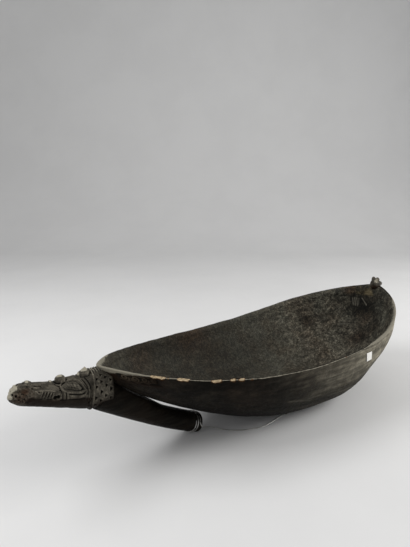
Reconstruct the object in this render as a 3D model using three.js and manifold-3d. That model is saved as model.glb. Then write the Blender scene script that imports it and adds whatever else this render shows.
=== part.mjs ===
// A long carved feast bowl in dark wood with a crocodile-head handle, and the wire that it is hung by.
// Millimetres, +Z up. X runs along the bowl from the head to the tail, and Y across it.
// The pieces are drawn from the nose of the bowl's rim, at x = 0, over the floor at z = 0, and then the
// whole is moved so that its middle lies over the origin.
import * as THREE from "three";
import { mergeVertices } from "three/addons/utils/BufferGeometryUtils.js";
import Module from "manifold-3d";

const wasm = await Module();
wasm.setup();

// Rim seen from above: a long pointed nose and a shorter, rounder tail
const DISH_LENGTH = 640;
const WIDEST_AT = 407;
const HALF_WIDTH = 132;
const NOSE_FULLNESS = 329;
const TAIL_FULLNESS = 182;
const TIP_BLUNTNESS = 11;

// Rim seen from the side: it dips between its ends
const RIM_HEIGHT = 118;
const DIP_AT = 307;
const NOSE_RISE = 36;
const TAIL_RISE = 55;

// Hull, from the rim down to a small flattened base
const BASE_AT = 362;
const BASE_HALF_LENGTH = 74;
const BASE_HALF_WIDTH = 46;
const HULL_CURVES = { nose: 1.44, side: 1.15, tail: 1.3 };

// Hollow, from the rim's inner edge down to its floor
const WALL = 8;
const NOSE_WALL = 15;
const TAIL_WALL = 20;
const EDGE_ROUND = 2;
const FLOOR_THICKNESS = 15;
const HOLLOW_FLOOR_HALF_LENGTH = 66;
const HOLLOW_FLOOR_HALF_WIDTH = 40;
const HOLLOW_CURVES = { nose: 1.36, side: 1.1, tail: 1.2 };
const INNER_NOSE_BLUNTNESS = 9;
const INNER_TAIL_BLUNTNESS = 26;

// Knob on the rim at the tail, a small head with two ears and a blunt muzzle
const KNOB_HEIGHT = 17;
const KNOB_HALF_LENGTH = 13;
const KNOB_HALF_WIDTH = 10;
const KNOB_INSET = 7;
const MUZZLE_PAST_EDGE = 2.6;
const MUZZLE_HALF_WIDTH = 7;
const MUZZLE_HALF_HEIGHT = 6.4;
const EAR_RADIUS = 4.2;
const EAR_HALF_HEIGHT = 5.9;
const EAR_SPREAD = 4.5;

// Head, carved from these stations: how far it lies ahead of the collar, the top's level below the rim's
// nose, the depth from top to jaw, and the half-width
const HEAD_STATIONS = [
  { ahead: 94.5, top: 11, depth: 9, halfWidth: 4 },
  { ahead: 92.5, top: 6, depth: 17, halfWidth: 7.5 },
  { ahead: 87, top: 2, depth: 24, halfWidth: 11 },
  { ahead: 76, top: 1.5, depth: 28, halfWidth: 12.5 },
  { ahead: 60, top: 5.5, depth: 30, halfWidth: 13 },
  { ahead: 44, top: 9, depth: 32.5, halfWidth: 14 },
  { ahead: 26, top: 9.5, depth: 38.5, halfWidth: 15 },
  { ahead: 10, top: 9.5, depth: 44.5, halfWidth: 16 },
  { ahead: -3, top: 8.5, depth: 49, halfWidth: 16.5 },
];
const SNOUT_TIP = 1;
const HEAD_TILT = 0.13;

// Bumps across the top of the head, from the nostrils back to the crest: half-sizes and rise
const BUMPS = [
  { ahead: 72, rise: 2.5, halfLength: 4, halfWidth: 6.5 },
  { ahead: 45.5, rise: 2, halfLength: 3, halfWidth: 6 },
  { ahead: 34.5, rise: 6.5, halfLength: 5, halfWidth: 7.5 },
  { ahead: 11.5, rise: 2.5, halfLength: 3, halfWidth: 6.5 },
  { ahead: 1.5, rise: 6, halfLength: 6, halfWidth: 8 },
];
const BUMP_ROOT = 5;

// Mouth, a groove round the snout that ends in a deep corner on each side
const MOUTH_TIP_LEVEL = 12;
const MOUTH_CORNER_LEVEL = 23.5;
const MOUTH_CORNER_AHEAD = 43;
const MOUTH_GROOVE = 1.4;
const CORNER_RADIUS = 3.2;
const CORNER_HALF_HEIGHT = 2.3;

// Collar between the head and the bowl, with a bead at its front
const COLLAR_AT = -15;
const COLLAR_LENGTH = 31;
const COLLAR_TOP = 6;
const COLLAR_DEPTH = 52.5;
const COLLAR_HALF_WIDTH = 18;
const BEAD_WIDTH = 3;
const BEAD_RISE = 1;
const BEAD_SHOULDER = 0.8;
const BEAD_GROOVE = 1.8;
const SEAT_CLEARANCE = 0.3;

// Three-sided pits in staggered columns round the collar
const PIT_COLUMNS = 4;
const PIT_PITCH_ALONG = 6.6;
const PIT_PITCH_ROUND = 10;
const PIT_RADIUS = 2.3;
const PIT_DEPTH = 2.8;
const PIT_LIP = 0.5;
const BARE_TOP_ANGLE = 0.6;

// Neck, which runs back under the bowl and rests its foot on the floor
const NECK_START_DROP = 48.5;
const NECK_BEND_AT = 105;
const NECK_BEND_LEVEL = 36;
const NECK_END = 163;
const NECK_HALF_HEIGHT = 16;
const NECK_HALF_WIDTH = 15.5;
const FOOT_HALF_WIDTH = 18.5;
const FOOT_ROUND = 5;
const FOOT_FLAT = 1.4;
const NECK_GAP = 3.5;
const NOTCH_BEFORE_FOOT = 1;
const NOTCH_WIDTH = 14;
const NOTCH_DEPTH = 1.5;

// Two dowels that pin the bowl's nose to the collar
const DOWEL_RADIUS = 3.5;
const DOWEL_AT = 12;
const DOWEL_SPREAD = 6.5;
const DOWEL_SEAT_DROP = 18;
const DOWEL_IN_BOWL = 8;
const DOWEL_IN_COLLAR = 16;
const DOWEL_CLEARANCE = 0.3;
const DOWEL_SIDES = 20;

// Hanging wire, which starts with two turns in the neck's notch
const WIRE_RADIUS = 0.8;
const WIRE_CLEARANCE = 0.3;
const TURNS = 2;
const TURN_PITCH = 4.2;
const TURN_START = -1.1;

// Nail that holds the wire's eye, low on the hull's near side
const NAIL_RIM_AT = 220;
const NAIL_SHARE_DOWN = 0.84;
const SEAT_STEP = 0.02;
const NAIL_SHANK = 0.9;
const NAIL_LENGTH = 9;
const NAIL_HEAD_RADIUS = 2.6;
const NAIL_HEAD_HEIGHT = 0.8;
const NAIL_HEAD_FLAT = 1.5;
const NAIL_POINT_LENGTH = 1.8;
const NAIL_SIDES = 14;
const EYE_STEPS = 18;
const EYE_RADIUS = 2.2;

// The wire's free stretch, from the last turn along the floor to the eye
const WIRE_ROUTE = [
  [156.7, -16.5, 22],
  [156.4, -17.2, 21.1],
  [156.1, -18.4, 19.2],
  [156.5, -19.4, 17.2],
  [157.6, -20, 15.3],
  [159.3, -20.3, 13.8],
  [161.5, -20.2, 12.7],
  [167.3, -19.3, 10.5],
  [174, -18.9, 7.8],
  [180.8, -20.6, 5.1],
  [187.6, -24.7, 2.9],
  [194.6, -30.2, 1.4],
  [201.8, -36.6, 0.85],
  [209.8, -43, 0.85],
  [219.4, -48.8, 0.85],
  [230.2, -53.4, 0.85],
  [241.4, -57.1, 0.85],
  [252, -59, 0.85],
  [262.5, -58.9, 0.85],
  [273.5, -57.5, 0.85],
  [286, -55.7, 0.85],
  [294.5, -54.9, 1.1],
  [300.5, -55.1, 2.3],
  [304.9, -55.4, 3.8],
];

// Paper label on the near side, under the rim
const LABEL_AT = 422;
const LABEL_LENGTH = 12;
const LABEL_HEIGHT = 21;
const LABEL_DROP = 9.5;
const LABEL_LEAN = 0.14;
const LABEL_THICKNESS = 0.4;
const LABEL_CLEARANCE = 0.3;

// How finely the curves are cut into facets
const RIM_POINTS = 104;
const HULL_STEPS = 11;
const GIRTH_POINTS = 36;
const GIRTH_SQUARENESS = 0.84;
const HEAD_STEPS = 26;
const HEAD_SEARCH_STEPS = 400;
const BALL_SIDES = 14;
const SMALL_BALL_SIDES = 10;
const MOUTH_STEPS = 36;
const MOUTH_SHARES = [1, 0.8, 0.6, 0.4, 0.2, 0.06];
const NECK_STEPS = 10;
const WIRE_SIDES = 8;
const TURN_POINTS = 20;
const ROUTE_STEPS = 40;

const NOSE_LEVEL = RIM_HEIGHT + NOSE_RISE;
const { lerp, clamp } = THREE.MathUtils;

const darkWood = () => new THREE.MeshStandardMaterial({ color: 0x2b2621, roughness: 0.6, metalness: 0 });
const paleWood = () => new THREE.MeshStandardMaterial({ color: 0x8a6b45, roughness: 0.7, metalness: 0 });
const steel = () => new THREE.MeshStandardMaterial({ color: 0x9c9c98, roughness: 0.35, metalness: 1 });
const paper = () => new THREE.MeshStandardMaterial({ color: 0xf2f0ea, roughness: 0.8, metalness: 0 });

// A closed solid that can be joined and cut
function solid(geometry) {
  const bare = geometry.clone();
  bare.deleteAttribute("normal");
  bare.deleteAttribute("uv");
  const merged = mergeVertices(bare, 1e-4);
  return new wasm.Manifold(
    new wasm.Mesh({
      numProp: 3,
      vertProperties: new Float32Array(merged.attributes.position.array),
      triVerts: new Uint32Array(merged.index.array),
    }),
  );
}

function piece(name, body, material) {
  const faces = body.getMesh();
  const geometry = new THREE.BufferGeometry();
  geometry.setAttribute("position", new THREE.BufferAttribute(new Float32Array(faces.vertProperties), 3));
  geometry.setIndex(new THREE.BufferAttribute(new Uint32Array(faces.triVerts), 1));
  geometry.computeVertexNormals();
  const mesh = new THREE.Mesh(geometry, material);
  mesh.name = name;
  return mesh;
}

// A closed loft through rings of equally many points, with a fan to a point at each end
function loft(first, rings, last) {
  const count = rings[0].length;
  const points = [first, ...rings.flat(), last];
  const at = (ring, i) => 1 + ring * count + (i % count);
  const faces = [];
  for (let i = 0; i < count; i++) {
    faces.push(0, at(0, i), at(0, i + 1));
    faces.push(points.length - 1, at(rings.length - 1, i + 1), at(rings.length - 1, i));
  }
  for (let r = 0; r < rings.length - 1; r++) {
    for (let i = 0; i < count; i++) {
      faces.push(at(r, i), at(r + 1, i + 1), at(r, i + 1));
      faces.push(at(r, i), at(r + 1, i), at(r + 1, i + 1));
    }
  }
  const geometry = new THREE.BufferGeometry();
  const flat = points.flatMap((point) => point.toArray());
  geometry.setAttribute("position", new THREE.Float32BufferAttribute(flat, 3));
  geometry.setIndex(faces);
  return solid(geometry);
}

const signedPower = (value, exponent) => Math.sign(value) * Math.abs(value) ** exponent;

// A ball stretched to three half-sizes about a centre
function stretchedBall(centre, halfLength, halfWidth, halfHeight, sides = BALL_SIDES) {
  const ball = new THREE.SphereGeometry(1, sides, sides / 2);
  ball.rotateX(Math.PI / 2);
  ball.scale(halfLength, halfWidth, halfHeight);
  ball.translate(centre.x, centre.y, centre.z);
  return solid(ball);
}

// One closed line round the bowl, lying inside the rim's outer edge by a wall at the nose, sides and tail
function rimLine(noseWall, sideWall, tailWall, noseBluntness, tailBluntness) {
  const widest = new THREE.Vector2(WIDEST_AT, HALF_WIDTH - sideWall);
  const nose = new THREE.CubicBezierCurve(
    new THREE.Vector2(noseWall, 0),
    new THREE.Vector2(noseWall, noseBluntness),
    new THREE.Vector2(WIDEST_AT - NOSE_FULLNESS, widest.y),
    widest,
  );
  const tail = new THREE.CubicBezierCurve(
    widest,
    new THREE.Vector2(WIDEST_AT + TAIL_FULLNESS - tailWall, widest.y),
    new THREE.Vector2(DISH_LENGTH - tailWall, tailBluntness),
    new THREE.Vector2(DISH_LENGTH - tailWall, 0),
  );
  const half = RIM_POINTS / 2;
  const nosePoints = Math.round((half * WIDEST_AT) / DISH_LENGTH);
  const side = [...nose.getSpacedPoints(nosePoints), ...tail.getSpacedPoints(half - nosePoints).slice(1)];
  const otherSide = side.slice(1, -1).reverse();
  return [...side, ...otherSide.map((point) => new THREE.Vector2(point.x, -point.y))];
}

function rimLevel(x) {
  const ahead = (DIP_AT - x) / DIP_AT;
  const behind = (x - DIP_AT) / (DISH_LENGTH - DIP_AT);
  return RIM_HEIGHT + (x < DIP_AT ? NOSE_RISE * ahead ** 2 : TAIL_RISE * behind ** 2);
}

// A point on the line that runs from the rim down to an oval floor, a share of the way down
function bellyPoint(rimPoint, shareDown, oval, curves) {
  const turn = Math.atan2(rimPoint.y / HALF_WIDTH, (rimPoint.x - BASE_AT) / (DISH_LENGTH / 2));
  const endways = Math.cos(turn) ** 2;
  const curve = lerp(curves.side, Math.cos(turn) < 0 ? curves.nose : curves.tail, endways);
  const angle = (shareDown * Math.PI) / 2;
  const out = clamp(Math.cos(angle), 0, 1) ** curve;
  const down = clamp(Math.sin(angle), 0, 1) ** curve;
  return new THREE.Vector3(
    lerp(BASE_AT + oval.halfLength * Math.cos(turn), rimPoint.x, out),
    lerp(oval.halfWidth * Math.sin(turn), rimPoint.y, out),
    lerp(rimLevel(rimPoint.x) - EDGE_ROUND, oval.level, down),
  );
}

function bellyRings(line, oval, curves) {
  return Array.from({ length: HULL_STEPS + 1 }, (_, step) =>
    line.map((rimPoint) => bellyPoint(rimPoint, step / HULL_STEPS, oval, curves)),
  );
}

const base = { halfLength: BASE_HALF_LENGTH, halfWidth: BASE_HALF_WIDTH, level: 0 };
const hollowFloor = {
  halfLength: HOLLOW_FLOOR_HALF_LENGTH,
  halfWidth: HOLLOW_FLOOR_HALF_WIDTH,
  level: FLOOR_THICKNESS,
};

function outerLine(clearance) {
  const bluntness = TIP_BLUNTNESS + clearance;
  return rimLine(-clearance, -clearance, -clearance, bluntness, bluntness);
}

function innerLine(round) {
  const walls = [NOSE_WALL - round, WALL - round, TAIL_WALL - round];
  return rimLine(...walls, INNER_NOSE_BLUNTNESS, INNER_TAIL_BLUNTNESS);
}

// The hull as a solid block, swollen by a clearance and taller than the rim, for cutting what meets it
function hullBlock(clearance) {
  const swollen = {
    halfLength: base.halfLength + clearance,
    halfWidth: base.halfWidth + clearance,
    level: base.level - clearance,
  };
  const rings = bellyRings(outerLine(clearance), swollen, HULL_CURVES).reverse();
  const topLevel = RIM_HEIGHT + NOSE_RISE + TAIL_RISE;
  const above = rings.at(-1).map((point) => point.clone().setZ(topLevel));
  const centre = (level) => new THREE.Vector3(BASE_AT, 0, level);
  return loft(centre(swollen.level), [...rings, above], centre(topLevel));
}

function bowlShell() {
  const rimRing = (line) => line.map((point) => new THREE.Vector3(point.x, point.y, rimLevel(point.x)));
  const rings = [
    ...bellyRings(outerLine(0), base, HULL_CURVES).reverse(),
    rimRing(outerLine(-EDGE_ROUND)),
    rimRing(innerLine(EDGE_ROUND)),
    ...bellyRings(innerLine(0), hollowFloor, HOLLOW_CURVES),
  ];
  const centre = (level) => new THREE.Vector3(BASE_AT, 0, level);
  return loft(centre(base.level), rings, centre(hollowFloor.level));
}

function tailKnob() {
  const root = rimLevel(DISH_LENGTH);
  const middle = new THREE.Vector3(DISH_LENGTH - KNOB_INSET, 0, root);
  const stub = stretchedBall(middle, KNOB_HALF_LENGTH, KNOB_HALF_WIDTH, KNOB_HEIGHT - EAR_RADIUS);
  const muzzle = stretchedBall(
    new THREE.Vector3(DISH_LENGTH + MUZZLE_PAST_EDGE, 0, root),
    KNOB_HALF_LENGTH,
    MUZZLE_HALF_WIDTH,
    MUZZLE_HALF_HEIGHT,
  );
  const ears = [-1, 1].map((side) =>
    stretchedBall(
      new THREE.Vector3(middle.x, side * EAR_SPREAD, root + KNOB_HEIGHT - EAR_HALF_HEIGHT),
      EAR_RADIUS,
      EAR_RADIUS,
      EAR_HALF_HEIGHT,
      SMALL_BALL_SIDES,
    ),
  );
  return wasm.Manifold.union([stub, muzzle, ...ears]);
}

// A ring of the handle between two levels, a slightly squared oval whose top leans back by a tilt
function girth(x, top, depth, halfWidth, tilt) {
  const middle = NOSE_LEVEL - top - depth / 2;
  return Array.from({ length: GIRTH_POINTS }, (_, i) => {
    const turn = (i / GIRTH_POINTS) * Math.PI * 2;
    const side = halfWidth * signedPower(Math.sin(turn), GIRTH_SQUARENESS);
    const up = (depth / 2) * signedPower(Math.cos(turn), GIRTH_SQUARENESS);
    return new THREE.Vector3(x + tilt * up, side, middle + up);
  });
}

const headProfile = new THREE.CatmullRomCurve3(
  HEAD_STATIONS.map((s) => new THREE.Vector3(COLLAR_AT - s.ahead, s.top, s.depth)),
  false,
  "catmullrom",
);
const headWidth = new THREE.SplineCurve(
  HEAD_STATIONS.map((s) => new THREE.Vector2(COLLAR_AT - s.ahead, s.halfWidth)),
);

// The head's section, a share of the way from the snout back to the collar
function headSection(share) {
  const side = headProfile.getPoint(share);
  return { x: side.x, top: side.y, depth: side.z, halfWidth: headWidth.getPoint(share).y };
}

// The share of the way at which the head reaches a place ahead of the collar
function headShare(ahead) {
  const shares = Array.from({ length: HEAD_SEARCH_STEPS + 1 }, (_, i) => i / HEAD_SEARCH_STEPS);
  const miss = (share) => Math.abs(headSection(share).x - (COLLAR_AT - ahead));
  return shares.reduce((best, share) => (miss(share) < miss(best) ? share : best));
}

function headBlock() {
  const sections = Array.from({ length: HEAD_STEPS + 1 }, (_, i) => headSection(i / HEAD_STEPS));
  const rings = sections.map((s) => girth(s.x, s.top, s.depth, s.halfWidth, HEAD_TILT));
  const middle = (s) => new THREE.Vector3(s.x, 0, NOSE_LEVEL - s.top - s.depth / 2);
  const tip = middle(sections[0]);
  tip.x -= SNOUT_TIP;
  return loft(tip, rings, middle(sections.at(-1)));
}

function headBump({ ahead, rise, halfLength, halfWidth }) {
  const section = headSection(headShare(ahead));
  const halfHeight = (rise + BUMP_ROOT) / 2;
  const centre = new THREE.Vector3(section.x, 0, NOSE_LEVEL - section.top + rise - halfHeight);
  return stretchedBall(centre, halfLength, halfWidth, halfHeight);
}

// Where the mouth's line crosses the head's side
function mouthPoint(share, cornerShare, side) {
  const section = headSection(share);
  const drop = lerp(MOUTH_TIP_LEVEL, MOUTH_CORNER_LEVEL, share / cornerShare);
  const fromMiddle = Math.abs(drop - section.top - section.depth / 2) / (section.depth / 2);
  const out = (1 - fromMiddle ** (2 / GIRTH_SQUARENESS)) ** (GIRTH_SQUARENESS / 2);
  return new THREE.Vector3(section.x, side * section.halfWidth * out, NOSE_LEVEL - drop);
}

function mouth() {
  const corner = headShare(MOUTH_CORNER_AHEAD);
  const side = (sign) => MOUTH_SHARES.map((part) => mouthPoint(part * corner, corner, sign));
  const groove = new THREE.ExtrudeGeometry(new THREE.Shape().absarc(0, 0, MOUTH_GROOVE, 0, Math.PI * 2), {
    curveSegments: 3,
    steps: MOUTH_STEPS,
    extrudePath: new THREE.CatmullRomCurve3([...side(-1), ...side(1).reverse()]),
  });
  const corners = [-1, 1].map((sign) =>
    stretchedBall(
      mouthPoint(corner, corner, sign),
      CORNER_RADIUS,
      CORNER_RADIUS,
      CORNER_HALF_HEIGHT,
      SMALL_BALL_SIDES,
    ),
  );
  return wasm.Manifold.union([solid(groove), ...corners]);
}

const collarMiddle = NOSE_LEVEL - COLLAR_TOP - COLLAR_DEPTH / 2;

// The collar's front leans with the head, and its back stands upright
const collarTilt = (x) => lerp(HEAD_TILT, 0, (x - COLLAR_AT) / COLLAR_LENGTH);

function collarBlock() {
  const beadAt = COLLAR_AT + BEAD_GROOVE;
  const end = COLLAR_AT + COLLAR_LENGTH;
  const stations = [
    { x: COLLAR_AT, swell: -BEAD_GROOVE },
    { x: beadAt, swell: -BEAD_GROOVE },
    { x: beadAt + BEAD_WIDTH / 4, swell: BEAD_SHOULDER },
    { x: beadAt + BEAD_WIDTH / 2, swell: BEAD_RISE },
    { x: beadAt + (BEAD_WIDTH * 3) / 4, swell: BEAD_SHOULDER },
    { x: beadAt + BEAD_WIDTH, swell: 0 },
    { x: end - EDGE_ROUND, swell: 0 },
    { x: end, swell: -EDGE_ROUND },
  ];
  const rings = stations.map(({ x, swell }) => {
    const tilt = collarTilt(x);
    return girth(x, COLLAR_TOP - swell, COLLAR_DEPTH + 2 * swell, COLLAR_HALF_WIDTH + swell, tilt);
  });
  return loft(new THREE.Vector3(COLLAR_AT, 0, collarMiddle), rings, new THREE.Vector3(end, 0, collarMiddle));
}

// Pits sunk square to the collar's surface, each column half a pitch round from the one before
function collarPits() {
  const firstColumn = COLLAR_AT + BEAD_GROOVE + BEAD_WIDTH + PIT_RADIUS;
  const halfDepth = COLLAR_DEPTH / 2;
  const perColumn = Math.round((Math.PI * (halfDepth + COLLAR_HALF_WIDTH)) / PIT_PITCH_ROUND);
  const pits = [];
  for (let column = 0; column < PIT_COLUMNS; column++) {
    for (let row = 0; row < perColumn; row++) {
      const turn = ((row + (column % 2) / 2) / perColumn) * Math.PI * 2;
      if (Math.cos(turn) > Math.cos(BARE_TOP_ANGLE)) continue;
      const inward = new THREE.Vector3(
        0,
        -Math.sin(turn) * halfDepth,
        -Math.cos(turn) * COLLAR_HALF_WIDTH,
      ).normalize();
      const x = firstColumn + column * PIT_PITCH_ALONG;
      const up = signedPower(Math.cos(turn), GIRTH_SQUARENESS) * halfDepth;
      const side = signedPower(Math.sin(turn), GIRTH_SQUARENESS) * COLLAR_HALF_WIDTH;
      const pit = new THREE.ConeGeometry(PIT_RADIUS, PIT_DEPTH + PIT_LIP, 3);
      pit.translate(0, (PIT_DEPTH - PIT_LIP) / 2, 0);
      pit.applyQuaternion(new THREE.Quaternion().setFromUnitVectors(new THREE.Vector3(0, 1, 0), inward));
      pit.translate(x + collarTilt(x) * up, side, collarMiddle + up);
      pits.push(solid(pit));
    }
  }
  return wasm.Manifold.union(pits);
}

// The neck's middle line, from inside the collar to its foot
const neckLine = new THREE.QuadraticBezierCurve3(
  new THREE.Vector3(COLLAR_AT + COLLAR_LENGTH / 2, 0, NOSE_LEVEL - NECK_START_DROP),
  new THREE.Vector3(NECK_BEND_AT, 0, NECK_BEND_LEVEL),
  new THREE.Vector3(NECK_END - FOOT_ROUND, 0, NECK_HALF_HEIGHT - FOOT_FLAT),
);
const neckLength = neckLine.getLength();
const notchTo = neckLength - NOTCH_BEFORE_FOOT;
const notchFrom = notchTo - NOTCH_WIDTH;

// A point round the neck, square to its middle line and swollen outwards
function neckPoint(along, turn, swell) {
  const share = along / neckLength;
  const tangent = neckLine.getTangentAt(share);
  const up = (NECK_HALF_HEIGHT + swell) * Math.cos(turn);
  const side = (lerp(NECK_HALF_WIDTH, FOOT_HALF_WIDTH, share) + swell) * Math.sin(turn);
  const upward = new THREE.Vector3(-tangent.z, 0, tangent.x);
  return neckLine.getPointAt(share).addScaledVector(upward, up).setY(side);
}

function neckRing(along, swell) {
  return Array.from({ length: GIRTH_POINTS }, (_, i) =>
    neckPoint(along, (i / GIRTH_POINTS) * Math.PI * 2, swell),
  );
}

function neckBlock() {
  const rings = Array.from({ length: NECK_STEPS + 1 }, (_, i) => neckRing((i / NECK_STEPS) * notchFrom, 0));
  rings.push(neckRing(notchFrom + NOTCH_DEPTH, -NOTCH_DEPTH));
  rings.push(neckRing(notchTo - NOTCH_DEPTH, -NOTCH_DEPTH));
  rings.push(neckRing(notchTo, 0));
  const foot = neckLine.getPointAt(1);
  const onward = neckLine.getTangentAt(1).multiplyScalar(FOOT_ROUND);
  for (const turn of [0, Math.PI / 8, Math.PI / 4, (Math.PI * 3) / 8]) {
    rings.push(
      neckRing(neckLength, 0).map((point) =>
        foot.clone().lerp(point, Math.cos(turn)).addScaledVector(onward, Math.sin(turn)),
      ),
    );
  }
  const underFloor = new THREE.BoxGeometry(NECK_END * 2, NECK_END, NECK_HALF_HEIGHT);
  underFloor.translate(NECK_END, 0, -NECK_HALF_HEIGHT / 2);
  return loft(neckLine.getPointAt(0), rings, foot.clone().add(onward)).subtract(solid(underFloor));
}

const dowelLength = DOWEL_IN_BOWL + DOWEL_IN_COLLAR;
const dowelPlaces = [-1, 1].map(
  (side) =>
    new THREE.Vector3(
      DOWEL_AT,
      side * DOWEL_SPREAD,
      NOSE_LEVEL - DOWEL_SEAT_DROP + (DOWEL_IN_BOWL - DOWEL_IN_COLLAR) / 2,
    ),
);

function dowel(centre, clearance) {
  const pin = new THREE.CylinderGeometry(
    DOWEL_RADIUS + clearance,
    DOWEL_RADIUS + clearance,
    dowelLength + 2 * clearance,
    DOWEL_SIDES,
  );
  pin.rotateX(Math.PI / 2);
  pin.translate(centre.x, centre.y, centre.z);
  return solid(pin);
}

const dowelHoles = () => wasm.Manifold.union(dowelPlaces.map((centre) => dowel(centre, DOWEL_CLEARANCE)));

function crocodileHandle() {
  const head = wasm.Manifold.union([headBlock(), ...BUMPS.map(headBump)]).subtract(mouth());
  const collar = collarBlock().subtract(collarPits());
  const neck = neckBlock().subtract(hullBlock(NECK_GAP));
  return wasm.Manifold.union([head, collar, neck]).subtract(hullBlock(SEAT_CLEARANCE)).subtract(dowelHoles());
}

function wireAlong(points, steps) {
  const section = new THREE.Shape(
    Array.from({ length: WIRE_SIDES }, (_, i) => {
      const turn = (i / WIRE_SIDES) * Math.PI * 2;
      return new THREE.Vector2(WIRE_RADIUS * Math.cos(turn), WIRE_RADIUS * Math.sin(turn));
    }),
  );
  const extrudePath = new THREE.CatmullRomCurve3(points);
  return solid(new THREE.ExtrudeGeometry(section, { steps, extrudePath }));
}

function neckTurns() {
  const count = TURNS * TURN_POINTS;
  const firstAlong = (notchFrom + notchTo - TURNS * TURN_PITCH) / 2;
  const points = Array.from({ length: count + 1 }, (_, i) => {
    const done = i / TURN_POINTS;
    const out = WIRE_CLEARANCE + WIRE_RADIUS - NOTCH_DEPTH;
    return neckPoint(firstAlong + done * TURN_PITCH, TURN_START - done * Math.PI * 2, out);
  });
  return wireAlong(points, count);
}

// The place on the hull where the nail is driven, and the direction square to the hull there
function nailSeat() {
  const line = outerLine(0);
  const near = line.filter((point) => point.y < 0);
  const miss = (point) => Math.abs(point.x - NAIL_RIM_AT);
  const rimPoint = near.reduce((best, point) => (miss(point) < miss(best) ? point : best));
  const beside = line[(line.indexOf(rimPoint) + 1) % line.length];
  const place = bellyPoint(rimPoint, NAIL_SHARE_DOWN, base, HULL_CURVES);
  const lower = bellyPoint(rimPoint, NAIL_SHARE_DOWN + SEAT_STEP, base, HULL_CURVES).sub(place);
  const across = bellyPoint(beside, NAIL_SHARE_DOWN, base, HULL_CURVES).sub(place);
  const outward = lower.cross(across).normalize();
  if (outward.z > 0) outward.negate();
  return { place, outward };
}

// Things drawn up the Z axis from the hull's surface at z = 0, turned and moved to the nail's seat
function onHull(geometry) {
  const { place, outward } = nailSeat();
  const turned = new THREE.Quaternion().setFromUnitVectors(new THREE.Vector3(0, 0, 1), outward);
  return geometry.applyQuaternion(turned).translate(place.x, place.y, place.z);
}

const eyeLevel = WIRE_CLEARANCE + WIRE_RADIUS;
const nailHeadFrom = 2 * (WIRE_RADIUS + WIRE_CLEARANCE);

function nail(clearance) {
  const headTop = nailHeadFrom + NAIL_HEAD_HEIGHT;
  const profile = [
    [0, -NAIL_LENGTH - clearance],
    [NAIL_SHANK + clearance, -NAIL_LENGTH + NAIL_POINT_LENGTH],
    [NAIL_SHANK + clearance, nailHeadFrom],
    [NAIL_HEAD_RADIUS, nailHeadFrom],
    [NAIL_HEAD_RADIUS, nailHeadFrom + NAIL_HEAD_HEIGHT / 2],
    [NAIL_HEAD_FLAT, headTop],
    [0, headTop],
  ];
  const outline = profile.map(([radius, level]) => new THREE.Vector2(radius, level));
  const lathe = new THREE.LatheGeometry(outline, NAIL_SIDES);
  return solid(onHull(lathe.rotateX(Math.PI / 2)));
}

function wireEye() {
  const ring = new THREE.TorusGeometry(EYE_RADIUS, WIRE_RADIUS, WIRE_SIDES, EYE_STEPS);
  return solid(onHull(ring.translate(0, 0, eyeLevel)));
}

// A thin patch of the hull's own curve
function paperLabel() {
  const skin = hullBlock(LABEL_CLEARANCE + LABEL_THICKNESS).subtract(hullBlock(LABEL_CLEARANCE));
  const top = rimLevel(LABEL_AT) - LABEL_DROP;
  const window = new THREE.BoxGeometry(LABEL_LENGTH, HALF_WIDTH, LABEL_HEIGHT);
  window.rotateY(-LABEL_LEAN).translate(LABEL_AT, -HALF_WIDTH, top - LABEL_HEIGHT / 2);
  return skin.intersect(solid(window));
}

function feastBowl() {
  const dish = wasm.Manifold.union([bowlShell(), tailKnob()]).subtract(dowelHoles());
  const route = WIRE_ROUTE.map((point) => new THREE.Vector3(...point));
  const group = new THREE.Group();
  group.add(piece("dish", dish.subtract(nail(WIRE_CLEARANCE)), darkWood()));
  group.add(piece("crocodile_handle", crocodileHandle(), darkWood()));
  group.add(piece("collar_dowel_near", dowel(dowelPlaces[0], 0), paleWood()));
  group.add(piece("collar_dowel_far", dowel(dowelPlaces[1], 0), paleWood()));
  group.add(piece("neck_turns", neckTurns(), steel()));
  group.add(piece("hanging_wire", wireAlong(route, ROUTE_STEPS), steel()));
  group.add(piece("wire_eye", wireEye(), steel()));
  group.add(piece("wire_nail", nail(0), steel()));
  group.add(piece("paper_label", paperLabel(), paper()));
  const box = new THREE.Box3().setFromObject(group);
  group.position.x = -(box.min.x + box.max.x) / 2;
  return group;
}

export default feastBowl();
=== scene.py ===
"""The looks of a long carved feast bowl with a crocodile-head handle and a length of hanging wire.

Laid out as an add-on: each group of pieces has an operator, and their sizes and colours are properties.
"""

import itertools
import math

import bpy
import numpy as np
from bpy.props import FloatProperty, FloatVectorProperty, PointerProperty
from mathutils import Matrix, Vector
from mathutils.bvhtree import BVHTree


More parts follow.
